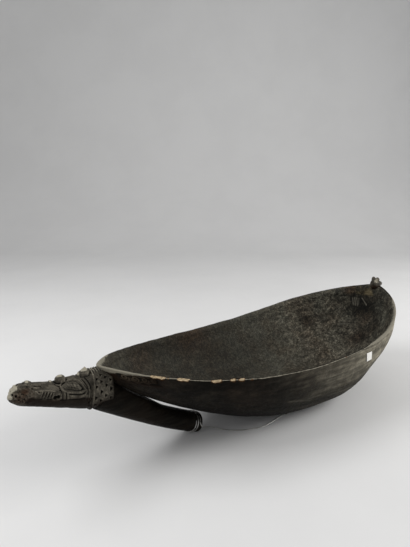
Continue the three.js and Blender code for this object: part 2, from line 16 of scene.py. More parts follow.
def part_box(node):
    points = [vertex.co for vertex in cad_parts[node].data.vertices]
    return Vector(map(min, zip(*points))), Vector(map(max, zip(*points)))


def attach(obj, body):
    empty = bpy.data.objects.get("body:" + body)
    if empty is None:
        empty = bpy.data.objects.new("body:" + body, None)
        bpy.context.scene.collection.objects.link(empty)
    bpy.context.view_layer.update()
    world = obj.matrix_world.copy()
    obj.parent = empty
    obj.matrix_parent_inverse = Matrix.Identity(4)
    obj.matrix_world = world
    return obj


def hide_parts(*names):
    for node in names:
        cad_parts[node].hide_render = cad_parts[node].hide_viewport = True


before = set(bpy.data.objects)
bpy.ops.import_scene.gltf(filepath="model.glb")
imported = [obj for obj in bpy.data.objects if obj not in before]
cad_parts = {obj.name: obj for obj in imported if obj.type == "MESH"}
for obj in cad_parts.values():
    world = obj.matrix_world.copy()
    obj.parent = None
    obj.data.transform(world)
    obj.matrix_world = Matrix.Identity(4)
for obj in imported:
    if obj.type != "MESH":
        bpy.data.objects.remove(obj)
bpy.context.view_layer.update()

bl_info = {
    "name": "Carved feast bowl",
    "version": (1, 0, 0),
    "blender": (4, 5, 0),
    "location": "3D View > Sidebar > Feast bowl",
    "description": "Builds a carved wooden feast bowl, its crocodile-head handle and its hanging wire",
    "category": "Object",
}

MM = 0.001
# The pieces are worked out in millimetres from the nose of the bowl's rim, where the frame's dish starts
NOSE_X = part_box("dish")[0].x / MM

# Rim seen from above and from the side
WIDEST_AT = 407
NOSE_FULLNESS = 329
TAIL_FULLNESS = 182
TIP_BLUNTNESS = 11
DIP_AT = 307
NOSE_RISE = 36
TAIL_RISE = 55
# Ovals at the bottom of hull and hollow: half-length, half-width and level
BASE_AT = 362
BASE_OVAL = (74, 46, 0)
HOLLOW_OVAL = (66, 40, 15)
# How lean hull and hollow are below the rim, and how thick the wall is, at nose, sides and tail
HULL_CURVES = (1.44, 1.15, 1.3)
HOLLOW_CURVES = (1.36, 1.1, 1.2)
WALLS = (15, 8, 20)
# How blunt the hollow's rim is at nose and tail
INNER_BLUNTNESS = (9, 26)
EDGE_ROUND = 2
# The rim's columns lie half a millimetre apart up to FINE_TO, and a millimetre apart up to COARSE_FROM.
# The rim is about as long as NOSE_CURVE up to its widest place
NOSE_CURVE = 444
FINE_TO = 90
COARSE_FROM = 150
NOSE_COLUMNS = 130
TAIL_COLUMNS = 190
# The hull's rows are closer together in this first share of the way down
NEAR_RIM = 0.2
HULL_ROWS = (44, 52)
EDGE_ROWS = 6
LIP_ROWS = 10
HOLLOW_ROWS = 124
# Rows and columns of the other pieces
KNOB_GRID = (74, 96)
HEAD_GRID = (236, 248)
COLLAR_GRID = (78, 280)
NECK_ROWS = (90, 46)
NECK_COLUMNS = 160
FOOT_ROWS = 12
EYE_GRID = (64, 16)
NAIL_COLUMNS = 32
LABEL_GRID = (33, 21)
# The inner lip sinks by this much, and more where the wall is thick, and the sinking fades down the hollow
LIP_DROP = 3.4
LIP_DROP_BY_WALL = 0.34
LIP_FADE_FROM = 2
LIP_FADE = 17
LIP_BEND = 1.6
# The hull is hewn from the first level up, fully from the second, and the rim's wave fades below the rim
HEWN_Z = (1, 12)
WAVE_BELOW = (0, 14)

# Where the dish's shading starts and ends: along the rim from its nose, below the rim, or along the bowl
CARVED_ALONG = (104, 74)
CARVED_BELOW = (26, 12)
# The hull's painted shade deepens between these depths below the rim
UNDERSIDE_SHADE_BELOW = (22, 92)
# The hull's painted sheen, laid with its grey bloom, grows between these places along the bowl
SHEEN_X = (170, 540)
SHEEN_BEND = 1.2
ROUGH_X = (350, 560)
SHELF_X = (572, 606)
SHELF_DEPTH = 14
# Wear reaches this far from the rim's corner, and more by the nose, where it is partly a painted highlight.
# On the near side by the tail a painted highlight reaches further
WEAR_REACH = 1.2
NOSE_WEAR_AND_HIGHLIGHT_REACH = 6.2
NOSE_WEAR_AND_HIGHLIGHT_ALONG = (84, 10)
TAIL_HIGHLIGHT_REACH = 4.6
TAIL_HIGHLIGHT_FROM = (410, 450)
TAIL_HIGHLIGHT_TO = (606, 584)
# Just off the corner, the painted highlight by the tail is weaker by this share
TAIL_HIGHLIGHT_LOSS = 0.18
TAIL_HIGHLIGHT_LOSS_OFF = (0.6, 1.6)
# The far edge is rubbed this much as strongly as the near one
FAR_WEAR = 0.3

# Layers of uneven surface, each with the size of its lumps, its seed and its height
HULL_HEWN = (((46, 15, 15), 3, 0.25), ((90, 40, 40), 4, 0.35))
HOLLOW_GOUGES = (((21, 6.5, 9), 6, 0.34), ((8, 3.2, 4), 7, 0.16), (55, 8, 0.5))
RIM_WAVE = ((38, 11, 0.7), (9, 12, 0.3))
HEAD_HEWN = (((11, 5, 5), 31, 0.25), ((4, 2.2, 2.2), 32, 0.16))
SNOUT_RUGGED = (((4.2, 3, 3), 33, 0.75), (1.9, 34, 0.5))
COLLAR_HEWN = (((5, 4, 4), 41, 0.3), (2.1, 42, 0.2))
NECK_HEWN = (((30, 9, 9), 51, 0.3), ((12, 5, 5), 52, 0.1))
# How far each layer is sunk, so that its lumps stay inside the frame's box
HULL_SUNK = 0.45
RIM_SUNK = 0.6
HEAD_SUNK = 0.35
NECK_SUNK = 0.3

# Fuller places on the flanks: middle, half-length, height, and the levels between which they rise and fall
FLANK_BULGES = ((412, 62, 4.6, (6, 30), (78, 48)), (510, 31, 2.4, (30, 70), (152, 118)))

# Raw chips broken from the near rim: millimetres along the rim from its nose, half-length and size
CHIPS = ((84, 10.5, 4.3), (118, 8.5, 3.7), (163, 8.2, 3.7), (187, 5, 2.8), (199.5, 5.5, 2.9), (214, 4, 1.5))
# A chip's outline: its fullness, and the size, seed and height of its raggedness
CHIP_FULLNESS = 0.6
CHIP_GRAIN = (3.1, 5)
CHIP_RAGGEDNESS = 0.9
# Small nicks lie where the noise along the rim is above a level. The two sides draw theirs far apart
NICK_GRAIN = (6.5, 9)
SIDES_APART = 40.0
NICKS_ABOVE = 0.62
NICK_SIZE = 3.5
# The broken surface is uneven, and it has splinters where more than this is broken away
CHIP_SURFACE = (((3.4, 2.6, 2.6), 14, 1.3),)
CHIP_SPLINTERS = ((1.7, 13, 0.3),)
SPLINTERS_ABOVE = 0.2
# Raw wood shows where a chip is at least this large, and in full where this much is broken away
RAW_FROM = 0.9
RAW_IN_FULL = 0.9
# The stained margin round a chip: the least chip that has one, its strength and its reach
MARGIN_FROM = 1.2
MARGIN_STRENGTH = 1.1
MARGIN_REACH = 1.9

# Band of scrolls under the rim by its nose: from and to along the rim, and its top and foot below it
SCROLL_BAND = (26, 88, 2.8, 17)
# Spirals, with their place along the rim, their level below it, their radius and their way round
SCROLLS = ((38, 9.6, 5.4, 1), (52, 9.6, 5.4, -1), (65.5, 9, 4.8, 1), (77, 8, 3.6, -1))
SCROLL_LINES = (
    ((28, 4.2), (36, 3.6), (45, 5.2), (54, 3.6), (60, 5), (68, 3.6), (74, 5), (84, 4.4)),
    ((30, 13), (37, 16), (45, 13.4), (52, 16.2), (59, 13.2), (66, 15), (72, 12.2), (80, 12)),
)
# Each spiral closes in by a share of its radius. Spirals and lines are drawn with so many points
SCROLL_TURNS = 1.35
SCROLL_CLOSING = 0.74
SPIRAL_POINTS = 80
LINE_POINTS = 40
SCROLL_HALF_WIDTH = 0.95
# A ridge's flanks, in shares of its half-width
SCROLL_FLANKS = (1.35, 0.5)
# How far inside its start, end, top and foot the band is at full depth. Its ridges fade toward end and
# foot, from so far behind its start and so far above its foot
SCROLL_FADES = (3, 8, 0.8, 2)
RIDGE_FADE_ALONG = 12
RIDGE_FADE_BELOW = 9
SCROLL_DEPTH = 1.8
# So many places are measured against the scrolls at a time, to save memory
AT_A_TIME = 20000

# Places where the wood is paler or darker, ruddy or rubbed: middle, radius and strength
# The hollow's paler and darker places are partly the wood's own tone and partly painted light and shade
HOLLOW_TONES_AND_LIGHT = (
    ((487, 90, 90), 95, 0.5),
    ((440, 60, 50), 80, 0.2),
    ((525, 20, 50), 55, 0.25),
    ((470, -60, 60), 70, 0.45),
    ((505, 5, 38), 27, 0.7),
    ((527, 30, 54), 22, 0.35),
    ((480, 108, 96), 24, 0.6),
    ((575, 40, 92), 20, 0.45),
    ((562, -20, 75), 21, -0.95),
    ((578, -45, 103), 17, -0.7),
    ((598, -66, 132), 21, 1.3),
    ((610, 0, 130), 46, -0.8),
    ((604, 18, 128), 26, -0.45),
    ((560, 28, 76), 14, -0.4),
    ((517, 88, 88), 17, -1.2),
    ((150, 60, 100), 110, -0.42),
    ((290, 60, 60), 90, -0.42),
)
RUDDY_TONES = (
    ((227, 115, 120), 45, 0.8),
    ((100, 60, 125), 40, 0.35),
    ((603, 42, 166), 12, 1.5),
    ((556, -10, 80), 26, 0.4),
    ((590, -14, 108), 20, 0.35),
    ((500, 60, 70), 60, 0.4),
    ((480, -20, 45), 60, 0.5),
)
LUG_TONES = (((618, 6, 162), 14, 0.9), ((610, 24, 163), 14, 0.5), ((602, 40, 162), 11, 0.18))
# Painted highlights on the rubbed shelf
PAINTED_SHINE_TONES = (((622, 1, 163), 7, 1.2), ((618, 9, 158), 5, 0.8))

# Pale scratches and specks in the hollow and on the near side of the hull: from, to and strength
HOLLOW_SCRATCHES = (
    ((603.8, 33.4, 142.9), (600.5, 27.7, 127.6), 0.65),
    ((606.3, 29.7, 144.4), (601.9, 23.7, 127.1), 0.8),
    ((608.2, 26.4, 144.8), (603.2, 19.5, 126.8), 0.65),
    ((609.5, 21.7, 143.4), (604.9, 18.4, 129), 0.4),
    ((612.4, 15.9, 145.3), (610.1, 2.9, 131.7), 1.0),
    ((564.8, 39, 86.9), (577.7, 17, 90.2), 0.55),
    ((582.2, 31.5, 102.5), (584, 29, 104), 0.7),
    ((583.9, -19.4, 98.5), (585, -21, 99), 0.6),
    ((560.4, 28.9, 77.8), (557, 26, 73), 0.5),
    ((538.1, 2.9, 54.5), (541, 4, 57), 0.6),
    ((488, 104.7, 92.1), (489, 103, 90), 0.6),
    ((505, 96, 93), (506, 95, 92), 0.8),
)
HULL_SCRATCHES = (
    ((256, -108, 63.4), (288, -109, 56), 0.9),
    ((286, -109, 55), (310, -109, 49.6), 0.7),
    ((366, -130, 96), (366.5, -130, 86), 0.9),
    ((368, -128.4, 84), (369, -128.4, 76), 0.35),
    ((331, -126, 74), (342, -126, 70), 0.3),
)
# Distances along y weigh this much at the hull's scratches, whose y is only roughly the surface's
HULL_SCRATCH_ACROSS = 0.35
# A scratch fades out between these distances from its line, and has dark sides at this distance
SCRATCH_FADE = (1.8, 0.6)
SCRATCH_SIDES_AT = 2.5
SCRATCH_SIDES_FADE = (1.1, 0.2)
# The sides show only where no scratch is paler than this
SIDES_SHOW_BELOW = 0.1
SCRATCH_DEPTH = 0.6

# The tail knob, from the rim's tail: its middle, and the place and half-sizes of skull, muzzle and ears
KNOB_CENTRE = (-7, 0, 1)
KNOB_BALLS = (
    ((-7, 0, 0), (12.6, 9.6, 12)),
    ((2.6, 0, 0), (12.4, 7, 6.2)),
    ((-7, -4.5, 10.4), (4.2, 4.2, 5.6)),
    ((-7, 4.5, 10.4), (4.2, 4.2, 5.6)),
)
KNOB_BLEND = 0.9
KNOB_HEWN = ((2.4, 21, 0.22),)
# Levels above the rim between which the knob's shading starts and ends: a painted light on its top, ruddy
# below it and a painted shade lower down
KNOB_PALE_ABOVE = (4, 14)
KNOB_RUDDY_BELOW = (3, -4)
KNOB_DARK_BELOW = (-4, -9)
# Painted highlights on the knob: middle, radius and strength
KNOB_HIGHLIGHTS = (((-13, -5.5, 9), 6, 1.0), ((14, -3, 3), 4, 0.6))

# Head stations: ahead of the collar, top below the rim's nose, depth and half-width
HEAD_STATIONS = np.array(
    [
        (94.5, 11, 9, 4),
        (92.5, 6, 17, 7.5),
        (87, 2, 24, 11),
        (76, 1.5, 28, 12.5),
        (60, 5.5, 30, 13),
        (44, 9, 32.5, 14),
        (26, 9.5, 38.5, 15),
        (10, 9.5, 44.5, 16),
        (-3, 8.5, 49, 16.5),
    ]
)
HEAD_TILT = 0.13
SNOUT_TIP = 1
SNOUT_CAP = (0.25, 0.5, 0.75, 0.92)
CHIN_RISE = 3
SQUARENESS = 0.84
# Where the head's carving, roughness and shading start and end: ahead of the collar in millimetres, and
# round from the top in radians. The ruddy mask has a middle and a reach instead
CARVING_AHEAD = (95, 93)
CHIN_AHEAD = (80, 93)
RUGGED_AHEAD = (64, 74)
RUGGED_ROUND = (2.2, 1.9)
# The pale snout and top of the nose are partly wear and partly a painted highlight
PALE_SNOUT_AHEAD = (90, 94.2)
PALE_SNOUT_ROUND = (1.9, 1.2)
PALE_TOP_AHEAD = (81, 90)
PALE_TOP_ROUND = (1.0, 0.5)
RUDDY_AHEAD = (80, 10.5)
RUDDY_ROUND = (1.4, 0.62)
# Under the jaw the wood is darkened with a painted shade
JAW_AHEAD = (84, 74)
JAW_ROUND = (1.5, 1.72)
PALE_SNOUT = 1.9
JAW_RAGGED = (((6, 4, 4), 35, 0.09),)
# How much of a bump's rise counts as raised in the shading, against the mean so many cells round it
BUMP_SHADE = 0.35
MEAN_CELLS = 6
# The bumps stay within this angle from the top, in radians
TOP_ANGLE = 1.5

# Bumps on top of the head: ahead, rise, half-length, half-width, and 1 for a ball or 0.5 for a point
EYE_AT = 35.4
BUMPS = (
    (74, 2.5, 4.2, 6.5, 1),
    (47.4, 2.0, 2.8, 5.5, 1),
    (EYE_AT, 7.0, 6.6, 6.4, 1),
    (12.6, 2.2, 2.6, 5.5, 1),
    (3.6, 9.6, 5.2, 7, 0.5),
)
# Added to a bump's rise before the two are halved for its dome
BUMP_ROOT = 5
# A bump is rubbed and carries a painted highlight on this part of its dome. Behind its top the painted
# highlight fades, in shares of its half-length
BALL_PALE = (0.62, 0.95)
POINT_PALE = (0.22, 0.5)
PALE_BEHIND = (-0.75, 0)
# The ring round the eye, in shares of the eye's size
RING_AT = 1.16
RING_FADE = (0.2, 0.05)
RING_DEPTH = 0.8
# A pointed bump is this much longer ahead of its point
POINT_STRETCH = 1.9

# Lines on the head's sides: height and half-width in millimetres, then points given as millimetres
# ahead of the collar and degrees round from the top
PANEL_RIM = (
    (37.3, 47), (37.6, 34), (35.5, 22), (30, 15), (22, 15), (16.4, 27), (13.2, 42),
    (10, 60), (8, 74), (13.8, 80), (23.1, 78), (32.2, 70), (36, 60), (37.3, 47),
)
PANEL_LINES = (
    (1.1, 1.3, PANEL_RIM),
    (-0.5, 1.5, ((34, 48), (33.5, 34), (27, 25), (20, 30), (15.5, 47), (12.6, 62), (11, 71))),
    (0.7, 3.3, ((29.5, 44), (23, 48), (17.5, 57), (14.5, 66))),
    (-0.6, 0.8, ((31.4, 36), (28.4, 54))),
    (-0.6, 0.8, ((27.6, 33), (24.6, 58))),
    (-0.6, 0.8, ((23.6, 36), (20.8, 63))),
    (-0.6, 0.8, ((19.8, 44), (17.4, 67))),
    (-0.55, 1.2, ((33.5, 56), (27, 64), (20, 71), (13, 74))),
)
JAW_LINES = (
    (1.0, 1.2, ((27, 86), (22, 88), (15.7, 91), (9.4, 89), (6.2, 82), (6.4, 74))),
    (-0.9, 1.1, ((27, 82), (20, 84), (13, 86), (9, 83))),
    (0.9, 1.5, ((33.4, 75), (33.2, 84), (33, 93))),
    (0.9, 1.5, ((29.6, 75), (29.4, 84), (29.2, 93))),
    (-0.6, 0.9, ((36.4, 74), (36.2, 84), (36, 96))),
    (-0.5, 0.8, ((31.5, 74), (31.3, 93))),
    (-0.55, 0.9, ((26.6, 80), (26.4, 96))),
    (-1.0, 1.0, ((38, 97), (30, 97), (20, 98), (8, 97))),
)
NAPE_LINES = (
    (1.2, 1.3, ((9.4, 32), (7.4, 45), (5.3, 59), (3.4, 70), (2.4, 82), (2.6, 96), (3.4, 108))),
    (-1.0, 1.1, ((7, 27), (4.6, 42), (2.4, 58), (0.6, 72), (-0.2, 88), (0.2, 104))),
    (1.0, 1.1, ((12.6, 30), (11, 42), (8.2, 56), (6, 66))),
    (-0.9, 1.0, ((11, 28), (9.4, 40), (7, 54), (5.2, 66))),
    (-1.2, 1.8, ((2.4, 108), (0.4, 116), (0, 128))),
)
SNOUT_LINES = (
    (-0.6, 1.0, ((42.2, 87), (39, 79), (36.6, 70), (38.6, 56), (39.4, 42))),
    (-0.9, 1.4, ((43.6, 19), (42, 30), (39.6, 39), (36.5, 36), (33.5, 24))),
    (-1.1, 1.9, ((67, 27), (64, 29), (60.5, 30))),
    (0.9, 1.2, ((77.5, 17), (75, 25), (71.5, 24), (69.5, 14))),
    (-0.6, 0.9, ((42.2, 91), (50.6, 93), (57.4, 91), (64, 94), (73, 92))),
    (0.7, 1.4, ((45, 62), (50, 58), (56, 57), (62, 60))),
    (-0.8, 1.8, ((70.5, 44), (66.5, 52), (63.5, 47), (60, 41))),
    (0.7, 1.4, ((66.5, 60), (62.8, 74))),
    (-0.45, 1.1, ((78, 42), (74, 52), (73, 64))),
    (0.5, 1.5, ((84, 38), (79, 43), (76, 50))),
)
# The teeth stand up between grooves
TEETH_LINES = (
    (0.8, 1.1, ((61.2, 88), (58.8, 63))),
    (0.9, 1.1, ((58, 89), (55.6, 66))),
    (0.9, 1.1, ((54.8, 90), (52.4, 66))),
    (0.9, 1.2, ((51.2, 90), (49.2, 69))),
    (0.8, 1.2, ((48, 86), (46.4, 72))),
    (-0.6, 0.8, ((60, 87), (57.4, 66))),
    (-0.65, 0.8, ((56.6, 88), (54.2, 68))),
    (-0.65, 0.8, ((53.2, 88), (50.8, 70))),
    (-0.65, 0.8, ((49.6, 87), (47.8, 72))),
)
# A carved line is at full height, and a sinking at full depth, within this share of its reach
LINE_FLAT = 0.25
SINKING_FLAT = 0.3
# Points per place of a carved line
STROKE_POINTS = 14
CARVED_LINES = PANEL_LINES + JAW_LINES + NAPE_LINES + SNOUT_LINES + TEETH_LINES
# Round sinkings on the head's sides: ahead, degrees from the top, radius and depth
SINKINGS = (
    (43.8, 89, 3.7, 4.4),
    (40.8, 87, 3.4, 4.2),
    (92.2, 57, 2.2, 3.0),
    (88.4, 75, 2.1, 3.0),
    (82, 70, 1.2, 1.1),
    (79.5, 92, 1.4, 1.2),
    (85, 95, 1.2, 1.2),
    (28.8, 24, 1.3, 1.1),
    (12.6, 70, 1.4, 1.2),
    (39, 62, 1.2, 0.9),
    (63, 66, 1.2, 0.9),
)

COLLAR_AT = -15
COLLAR_LENGTH = 31
COLLAR_TOP = 6
COLLAR_DEPTH = 52.5
COLLAR_HALF_WIDTH = 18
# The bead stands out between these distances behind the collar's front, and the pits start behind it
BEAD_FROM = (1.6, 2.6)
BEAD_TO = (5.2, 3.6)
BEAD_HEIGHT = 1.2
PITS_FROM = (4.4, 5.2)
# The collar's front and back edges are rounded off
FRONT_EDGE = (2.0, 0.8)
FRONT_ROUND = 1.8
BACK_EDGE = (29, 31)
BACK_ROUND = 0.5
FRINGE_FROM = (4.6, 5.4)
FRINGE_ROUND = (0.55, 0.3)
FRINGE_HEIGHT = 1.3
FRINGE_PITCH = 3.4
FRINGE_STAGGER = (((9, 6, 40), 44, 0.5),)
TOOTH_FLANKS = (0.35, 0.8)
# Teeth are missing where this noise is low
FRINGE_GAPS = (((5, 5, 40), 45, 1),)
TEETH_LEFT = (-0.7, 0.1)
# The collar's wear and painted highlight on the teeth and on top of the bead, and the painted shade on its
# underside and back
PALE_TEETH = (0.5, 0.9)
TOOTH_PALENESS = 0.55
PALE_BEAD_ROUND = (1.0, 0.5)
BEAD_PALENESS = 0.5
DARK_ROUND = (1.7, 2.35)
DARK_BACK = (24, 31)
BACK_DARKNESS = 0.55
# Three-sided pits in columns round the collar, with none on its top
PIT_COLUMNS = 4
PIT_PITCH_ALONG = 6.6
PIT_PITCH_AROUND = 10
PIT_RADIUS = 2.3
PIT_DEPTH = 2.8
FIRST_PIT = 7.1
BARE_TOP_ANGLE = 0.6
# A pit's inner radius as a share of PIT_RADIUS, the slant of its sides and where its flanks start and end
PIT_FULLNESS = 0.62
PIT_SLANT = 0.866
PIT_FLANKS = (1.1, 0.35)
# Pits stray this far along and round from their places. The two draws of a pit lie at its column and row
# times these steps
PIT_STRAY = (0.6, 0.7)
STRAY_GRAIN = (1.7, 43)
STRAY_STEPS = ((7.3, 5.1, 0.5), (3.7, 9.1, 8.5))

# The neck's middle line from the side, its section, its notch for the wire and its open gap to the hull
NECK_LINE = ((0.5, 105.5), (105, 36), (158, 14.6))
NECK_HALF_HEIGHT = 16
NECK_HALF_WIDTH = 15.5
FOOT_HALF_WIDTH = 18.5
FOOT_ROUND = 5
NOTCH_BEFORE_FOOT = 1
NOTCH_WIDTH = 14
NOTCH_DEPTH = 1.5
NECK_GAP = 3.2
NECK_WEB = 12
WEB_BEND = 1.5
# The foot's end point stands out from its last ring by this share of FOOT_ROUND
FOOT_TIP = 0.02
SEAT_CLEARANCE = 0.3
# Along the bowl, where the neck's top is drawn up to the keel, the gap opens and the foot is scuffed
WEB_X = (105, 45)
GAP_X = (20, 64)
SCUFF_X = (120, 160)

# The free wire's route, and its turns round the neck
WIRE_ROUTE = (
    (156.7, -16.5, 22), (156.4, -17.2, 21.1), (156.1, -18.4, 19.2), (156.5, -19.4, 17.2), (157.6, -20, 15.3),
    (159.3, -20.3, 13.8), (161.5, -20.2, 12.7), (167.3, -19.3, 10.5), (174, -18.9, 7.8), (180.8, -20.6, 5.1),
    (187.6, -24.7, 2.9), (194.6, -30.2, 1.4), (201.8, -36.6, 0.85), (209.8, -43, 0.85), (219.4, -48.8, 0.85),
    (230.2, -53.4, 0.85), (241.4, -57.1, 0.85), (252, -59, 0.85), (262.5, -58.9, 0.85), (273.5, -57.5, 0.85),
    (286, -55.7, 0.85), (294.5, -54.9, 1.1), (300.5, -55.1, 2.3), (304.9, -55.4, 3.8),
)
TURNS = 2
TURN_PITCH = 4.2
TURN_START = -1.1
WIRE_CLEARANCE = 0.3
# Points per place of the route, points of the turns, and how finely the section is rounded
ROUTE_POINTS = 8
TURN_POINTS = 150
SECTION_ROUNDING = 5

# The nail's radius and level, along its shank from the hull's surface and then from its head's underside
NAIL_SHANK = ((0.1, -9), (0.9, -7.2))
NAIL_HEAD = ((0.9, 0), (2.3, 0), (2.6, 0.3), (2.3, 0.55), (1.4, 0.76), (0.5, 0.8))

LABEL_DROP = 4.2
LABEL_HEIGHT = 17.6
LABEL_SHIFT = 1.5
LABEL_BACK = 0.36
LABEL_FRONT = 0.6
LABEL_CURL = 0.2
CURL_BEND = 6

# The floor and its sweep up to the backdrop, in metres
FLOOR_HALF_WIDTH = 4.0
FLOOR_FRONT = -5.0
FLOOR_BACK = 2.6
SWEEP_RADIUS = 1.0
SWEEP_ROWS = 18
BACKDROP_TOP = 3.2
# Lamps: name, place, aim, width and height, the setting that holds the power, and tint
LAMPS = (
    ("key_lamp", (1.5, -0.95, 1.0), (0.15, 0, 0.05), (0.9, 0.9), "key_power", (1, 0.99, 0.97)),
    ("top_lamp", (-0.95, 0.45, 1.25), (-0.1, 0, 0.1), (0.9, 0.6), "top_power", (1, 1, 1)),
)


def lumps(points, size, seed):
    """Smooth noise from -1 to 1 with lumps of a size, which may differ along each axis."""
    places = points / np.asarray(size, float)
    cell = np.floor(places).astype(np.int64)
    part = places - cell
    ease = part * part * (3 - 2 * part)
    total = np.zeros(points.shape[:-1])
    for corner in itertools.product((0, 1), repeat=3):
        at = cell + np.array(corner)
        mixed = at[..., 0] * 73856093 ^ at[..., 1] * 19349663 ^ at[..., 2] * 83492791 ^ seed * 2654435761
        mixed = (mixed ^ (mixed >> 13)) * 1274126177 & 0x7FFFFFFF
        mixed = (mixed ^ (mixed >> 15)) * 668265263 & 0x7FFFFFFF
        value = (mixed >> 8 & 0xFFFF) / 32767.5 - 1
        total += value * np.prod(np.where(corner, ease, 1 - ease), axis=-1)
    return total


def uneven(points, layers):
    return sum(lumps(points, size, seed) * height for size, seed, height in layers)


def ramp(value, start, end):
    """0 before start, 1 after end, and an even S between them; end may be below start."""
    share = np.clip((value - start) / (end - start), 0, 1)
    return share * share * (3 - 2 * share)


def bell(value, middle, reach, power=2):
    return np.exp(-(((value - middle) / reach) ** power))


def signed_power(value, exponent):
    return np.sign(value) * np.abs(value) ** exponent


def angles(count):
    """Angles round a full turn, without the last."""
    return np.linspace(0, 2 * math.pi, count + 1)[:-1]


def half_turn(angle):
    """Angles brought between -180 and 180 degrees."""
    return (angle + math.pi) % (2 * math.pi) - math.pi


def catmull(points, share):
    """Places on a smooth line through points, a share of the way along."""
    points = np.asarray(points, float)
    count = len(points) - 1
    full = np.vstack([2 * points[0] - points[1], points, 2 * points[-1] - points[-2]])
    at = np.clip(np.asarray(share) * count, 0, count - 1e-9)
    first = at.astype(int)
    t = (at - first)[..., None]
    p0, p1, p2, p3 = (full[first + k] for k in range(4))
    bend = (2 * p0 - 5 * p1 + 4 * p2 - p3) * t**2 + (3 * p1 - p0 - 3 * p2 + p3) * t**3
    return 0.5 * (2 * p1 + (p2 - p0) * t + bend)


def bezier(corners, shares):
    """Places on a Bezier curve at shares of its length."""
    t = np.linspace(0, 1, 3000)[:, None]
    last = len(corners) - 1
    curve = 0
    for k, corner in enumerate(corners):
        curve = curve + math.comb(last, k) * (1 - t) ** (last - k) * t**k * np.array(corner, float)
    length = np.concatenate([[0], np.cumsum(np.linalg.norm(np.diff(curve, axis=0), axis=1))])
    wanted = np.asarray(shares) * length[-1]
    return np.stack([np.interp(wanted, length, curve[:, k]) for k in range(curve.shape[1])], -1)


def grid(first, second):
    return np.meshgrid(first, second, indexing="ij")


def grid_normals(rows):
    """Unit normals of a grid that closes round its columns."""
    around = np.roll(rows, -1, axis=1) - np.roll(rows, 1, axis=1)
    normals = np.cross(np.gradient(rows, axis=0), around)
    return normals / np.maximum(np.linalg.norm(normals, axis=-1, keepdims=True), 1e-9)


def grid_faces(rows, columns, around=True, over=False):
    """Faces of a grid of points, which may close round its columns and over its rows."""
    faces = []
    for r in range(rows if over else rows - 1):
        here, below = r * columns, (r + 1) % rows * columns
        for c in range(columns if around else columns - 1):
            right = (c + 1) % columns
            faces.append((here + c, here + right, below + right, below + c))
    return faces


def to_frame(points):
    """Millimetres from the rim's nose, as metres in the frame."""
    moved = np.array(points, float)
    moved[..., 0] += NOSE_X
    return moved * MM


def node_points(name):
    """The corners of one of the frame's nodes, in millimetres from the rim's nose."""
    points = np.array([vertex.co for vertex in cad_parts[name].data.vertices]) / MM
    points[:, 0] -= NOSE_X
    return points


def hull_tree():
    """The frame's dish as a tree that can be searched, to seat the handle and the label on it."""
    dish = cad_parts["dish"].data
    points = [vertex.co.copy() for vertex in dish.vertices]
    return BVHTree.FromPolygons(points, [tuple(polygon.vertices) for polygon in dish.polygons])


def settle(piece, replaced):
    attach(piece, "root")
    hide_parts(replaced)
    return piece


def new_piece(name, points, faces, marks, materials, replaced):
    """A smooth mesh piece with marks for its materials, riding on the frame's one body."""
    mesh = bpy.data.meshes.new(name)
    mesh.from_pydata(to_frame(points).tolist(), [], faces)
    for mark, values in marks.items():
        layer = mesh.attributes.new(mark, "FLOAT", "POINT")
        layer.data.foreach_set("value", np.asarray(values, np.float32))
    mesh.polygons.foreach_set("use_smooth", [True] * len(mesh.polygons))
    for material in materials:
        mesh.materials.append(look(material))
    piece = bpy.data.objects.new(name, mesh)
    bpy.context.scene.collection.objects.link(piece)
    return settle(piece, replaced)


def closed_grid(name, rows, ends, marks, materials, replaced):
    """A piece from rings of points with a middle point at each end."""
    count, columns = rows.shape[:2]
    first, tail = count * columns, (count - 1) * columns
    faces = grid_faces(count, columns)
    faces += [(first, (c + 1) % columns, c) for c in range(columns)]
    faces += [(first + 1, tail + c, tail + (c + 1) % columns) for c in range(columns)]
    full = {}
    for mark, values in marks.items():
        flat = values.reshape(-1)
        full[mark] = np.concatenate([flat, [flat[:columns].mean(), flat[-columns:].mean()]])
    points = np.vstack([rows.reshape(-1, 3), *ends])
    return new_piece(name, points, faces, full, materials, replaced)


def rim_line(walls, bluntness, sizes):
    """The rim from above, inside its outer edge by a wall at nose, sides and tail: first far, then near."""
    side_y = sizes.half_width / MM - walls[1]
    end = sizes.length / MM - walls[2]
    full_from, full_to = WIDEST_AT - NOSE_FULLNESS, WIDEST_AT + TAIL_FULLNESS - walls[2]
    nose = ((walls[0], 0), (walls[0], bluntness[0]), (full_from, side_y), (WIDEST_AT, side_y))
    tail = ((WIDEST_AT, side_y), (full_to, side_y), (end, bluntness[1]), (end, 0))
    fine = np.concatenate([np.arange(0, FINE_TO, 0.5), np.arange(FINE_TO, COARSE_FROM, 1.0)]) / NOSE_CURVE
    nose_shares = np.concatenate([fine, np.linspace(COARSE_FROM / NOSE_CURVE, 1, NOSE_COLUMNS)])
    side = np.vstack([bezier(nose, nose_shares), bezier(tail, np.linspace(0, 1, TAIL_COLUMNS)[1:])])
    return np.vstack([side, side[1:-1][::-1] * [1, -1]])


def rim_level(x, sizes):
    ahead = (DIP_AT - x) / DIP_AT
    behind = (x - DIP_AT) / (sizes.length / MM - DIP_AT)
    return sizes.rim_height / MM + np.where(x < DIP_AT, NOSE_RISE * ahead**2, TAIL_RISE * behind**2)


def nose_level(sizes):
    return sizes.rim_height / MM + NOSE_RISE


